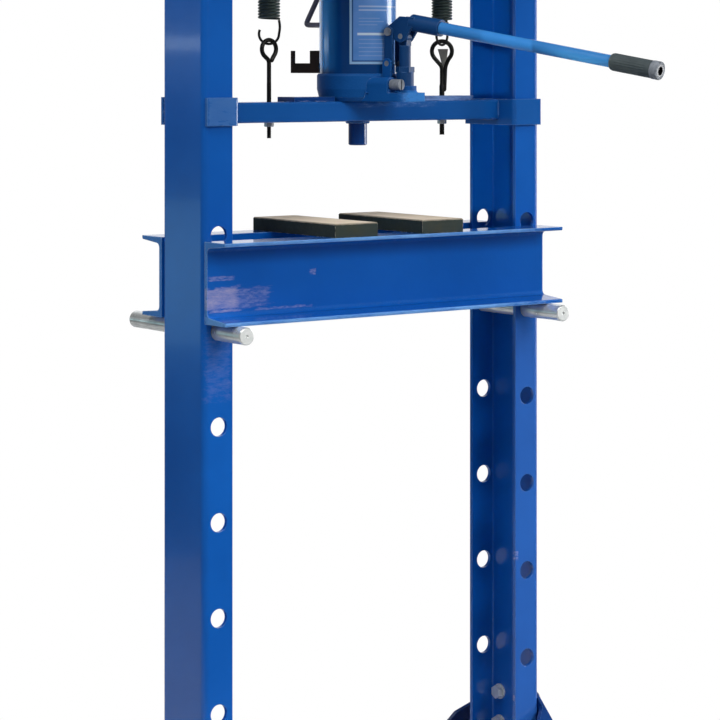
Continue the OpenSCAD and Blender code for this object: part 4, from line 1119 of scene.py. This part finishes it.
def cast_details(toe=13 * MM, base_r=60.085 * MM, plug_at=(24 * MM, -58 * MM, 23 * MM)):
    """Fillets round the base on its toe and round the pump's boss, and a plug."""
    parts = [fillet_ring(base_r, toe, 5 * MM, (228, 312)),
             fillet_ring(17 * MM, toe, 4 * MM, centre=(0, -PUMP_Y), n=60)]
    neck = closed_grid(turned([(7.4 * MM, -7 * MM), (7.4 * MM, 0.4 * MM)], 32))
    for part in (hexagon(13 * MM, 6 * MM, False, True), neck):
        points, faces = placed(part, "-y", plug_at)
        parts.append((in_jack(points), faces))
    return joined(parts)


piece("cast_details", cast_details(), cast_blue, "platform")


# %% [markdown]
# ## The handle's grip
# The end of the pump handle has a rubber grip. It is a turned sleeve with a
# rounded nose, and its middle is fluted lengthwise: the radius drops by the
# positive part of a cosine of many times the angle. A plated ring closes it.

# %% Grip and ring
SLOPE = math.radians(9.6)
LINE_START = np.array([0, -PUMP_Y, 118.5 * MM])
LINE_WAY = np.array([0, -math.cos(SLOPE), -math.sin(SLOPE)])
BAR_END = (519 * MM - PUMP_Y) / math.cos(SLOPE)
BORE, RING = 9.0 * MM, 12 * MM


def on_handle(part):
    """A shape made along +Z, put on the line of the handle: X stays, Z runs
    along the line, and Y is square to both."""
    across = np.cross(LINE_WAY, [1.0, 0, 0])
    points = part[0] @ np.array([[1.0, 0, 0], across, LINE_WAY]) + LINE_START
    return in_jack(points), part[1]


def fluted_grip(length=66 * MM, r=12.5 * MM, wall=1 * MM, depth=0.45 * MM, flutes=22, cols=132):
    """Sleeve with flutes: r - depth * max(0, cos(flutes a)) away from its ends."""
    s, a = np.linspace(0, length, 70)[:, None], around(cols)
    nose = np.sqrt(np.clip(1 - np.clip(1 - s / (5 * MM), 0, 1) ** 2, 0, 1))
    base = (BORE + wall) + (r - BORE - wall) * nose
    fade = np.clip(np.minimum(s - 8 * MM, length - 6 * MM - s) / (3 * MM), 0, 1)
    outer = rings(base - depth * fade * np.maximum(0, np.cos(flutes * a)), a, s)
    points = np.concatenate([outer, turned([(BORE, length), (BORE, 0)], cols)])
    return closed_grid(points + (0, 0, BAR_END - RING - length), loop=True)


def end_ring(r=13 * MM, deep=0.5 * MM):
    """Plated ring with rounded corners and a shallow groove."""
    low = corner_arc(r, 1.2 * MM, 6)
    groove = [(r, 4.6 * MM), (r - deep, 5.0 * MM), (r - deep, 6.2 * MM), (r, 6.6 * MM)]
    points = turned(low + groove + mirrored(low, RING) + [(BORE, RING), (BORE, 0)], 56)
    return closed_grid(points + (0, 0, BAR_END - RING), loop=True)


def shade_bore(mat, bore=6.0 * MM):
    """Darkens the inside of the tube to near black as painted shade for its
    hollow, and leaves its cut end bare. The distance from the line of the handle
    is the length of (p - start) x way."""
    OPENED.append(mat.node_tree)
    shader = mat.node_tree.nodes[0].inputs
    colour, rough = (shader[key].links[0].from_socket for key in ("Base Color", "Roughness"))
    way = tuple(turn_z(LINE_WAY, JACK_TURN))
    away = vector("SUBTRACT", coords(), tuple(in_jack(LINE_START)))
    far = vector("LENGTH", vector("CROSS_PRODUCT", away, way))
    along = vector("DOT_PRODUCT", away, way)
    end = ramp(along, BAR_END - 0.4 * MM, BAR_END - 0.2 * MM)
    colour = mixed(end, colour, (120, 124, 130))
    # painted shade: near black inside the bore
    inside = ramp(far, bore + 0.3 * MM, bore + 0.1 * MM)
    dress(mat, mixed(inside, colour, (26, 28, 30)), sums("MAXIMUM", rough, times(end, 0.8)))


shade_bore(handle_blue)
piece("fluted_grip", on_handle(fluted_grip()), grip_rubber, "lever", ["handle_grip"], 40)
piece("handle_ring", on_handle(end_ring()), dull_zinc, "lever", ["handle_end_ring"], 50)


# %% [markdown]
# ## The plate on the reservoir
# A thin printed plate is wrapped round the front of the jack. It carries no
# words: a pale border, a heading band, one bright bar and a few fine rules,
# worked out from the angle round the jack and the height. A field is a
# product of smooth steps at its four sides.

# %% Label material
LABEL_HALF = 48
RULES = ((0.70, 0.90), (0.655, 0.62), (0.56, 0.48), (0.52, 0.56), (0.48, 0.44),
         (0.30, 0.78), (0.25, 0.66), (0.20, 0.84), (0.15, 0.58), (0.10, 0.80))


def label_print(name="plain_label"):
    """Plain fields by angle and height: u runs left to right, v upwards."""
    lo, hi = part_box("label_panel")
    mat = finish_base(name, 0.22, 0.0, 0.5, 0.4, 0.06)
    part = xyz(coords())
    angle = sums("ARCTAN2", part["Y"], part["X"])
    half = math.radians(LABEL_HALF)
    u = ramp(angle, -math.pi / 2 - half, -math.pi / 2 + half)
    v = ramp(part["Z"], lo.z, hi.z)

    def field(u0, u1, v0, v1, soft=0.004):
        """1 inside the four sides, with soft edges."""
        out = ramp(u, u0 - soft, u0 + soft)
        for way, at, edge in ((u, u1, -soft), (v, v0, soft), (v, v1, -soft)):
            out = times(out, ramp(way, at - edge, at + edge))
        return out

    cloudy = cloud(14.0)
    ground = mixed(cloudy, (80, 134, 202), (106, 154, 223))
    colour = (150, 190, 226)
    for sides, tone in (((0.035, 0.965, 0.03, 0.97), (34, 74, 138)),
                        ((0.055, 0.945, 0.046, 0.954), ground),
                        ((0.055, 0.945, 0.80, 0.954), (170, 198, 228)),
                        ((0.12, 0.90, 0.355, 0.385), (206, 224, 242))):
        colour = mixed(field(*sides), colour, tone)
    for k, (v0, u1) in enumerate(RULES):
        thick, strength = (0.02, 0.75) if k < 2 else (0.008, 0.4)
        rule = times(field(0.14, u1, v0, v0 + thick, 0.003), strength)
        colour = mixed(rule, colour, (176, 198, 230))
    return dress(mat, colour, rise(0.16, 0.1, cloudy))


def label_shell(inner=57.55 * MM, outer=57.93 * MM):
    """A bent sheet: its section runs up the height and back, and is carried
    round the jack from left to right."""
    lo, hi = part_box("label_panel")
    a = np.radians(np.linspace(-90 - LABEL_HALF, -90 + LABEL_HALF, 61))[:, None]
    z = np.linspace(lo.z, hi.z, 25)
    hr = np.repeat([outer, inner], 25)
    points = rings(hr, a, np.concatenate([z, z[::-1]]))
    return closed_grid(points[:, ::-1])


label = label_print()
nodes["label_panel"].material_slots[0].material = label
piece("wrapped_label", label_shell(), label, "platform", ["label_panel"], 30)


# %% [markdown]
# ## Plain finishes
# Any solid whose finish is still a plain material is printed.

# %% Plain finishes
for name, obj in nodes.items():
    finish = obj.material_slots[0].material
    if finish.node_tree is None or len(finish.node_tree.nodes) < 4:
        print("still plain:", name)
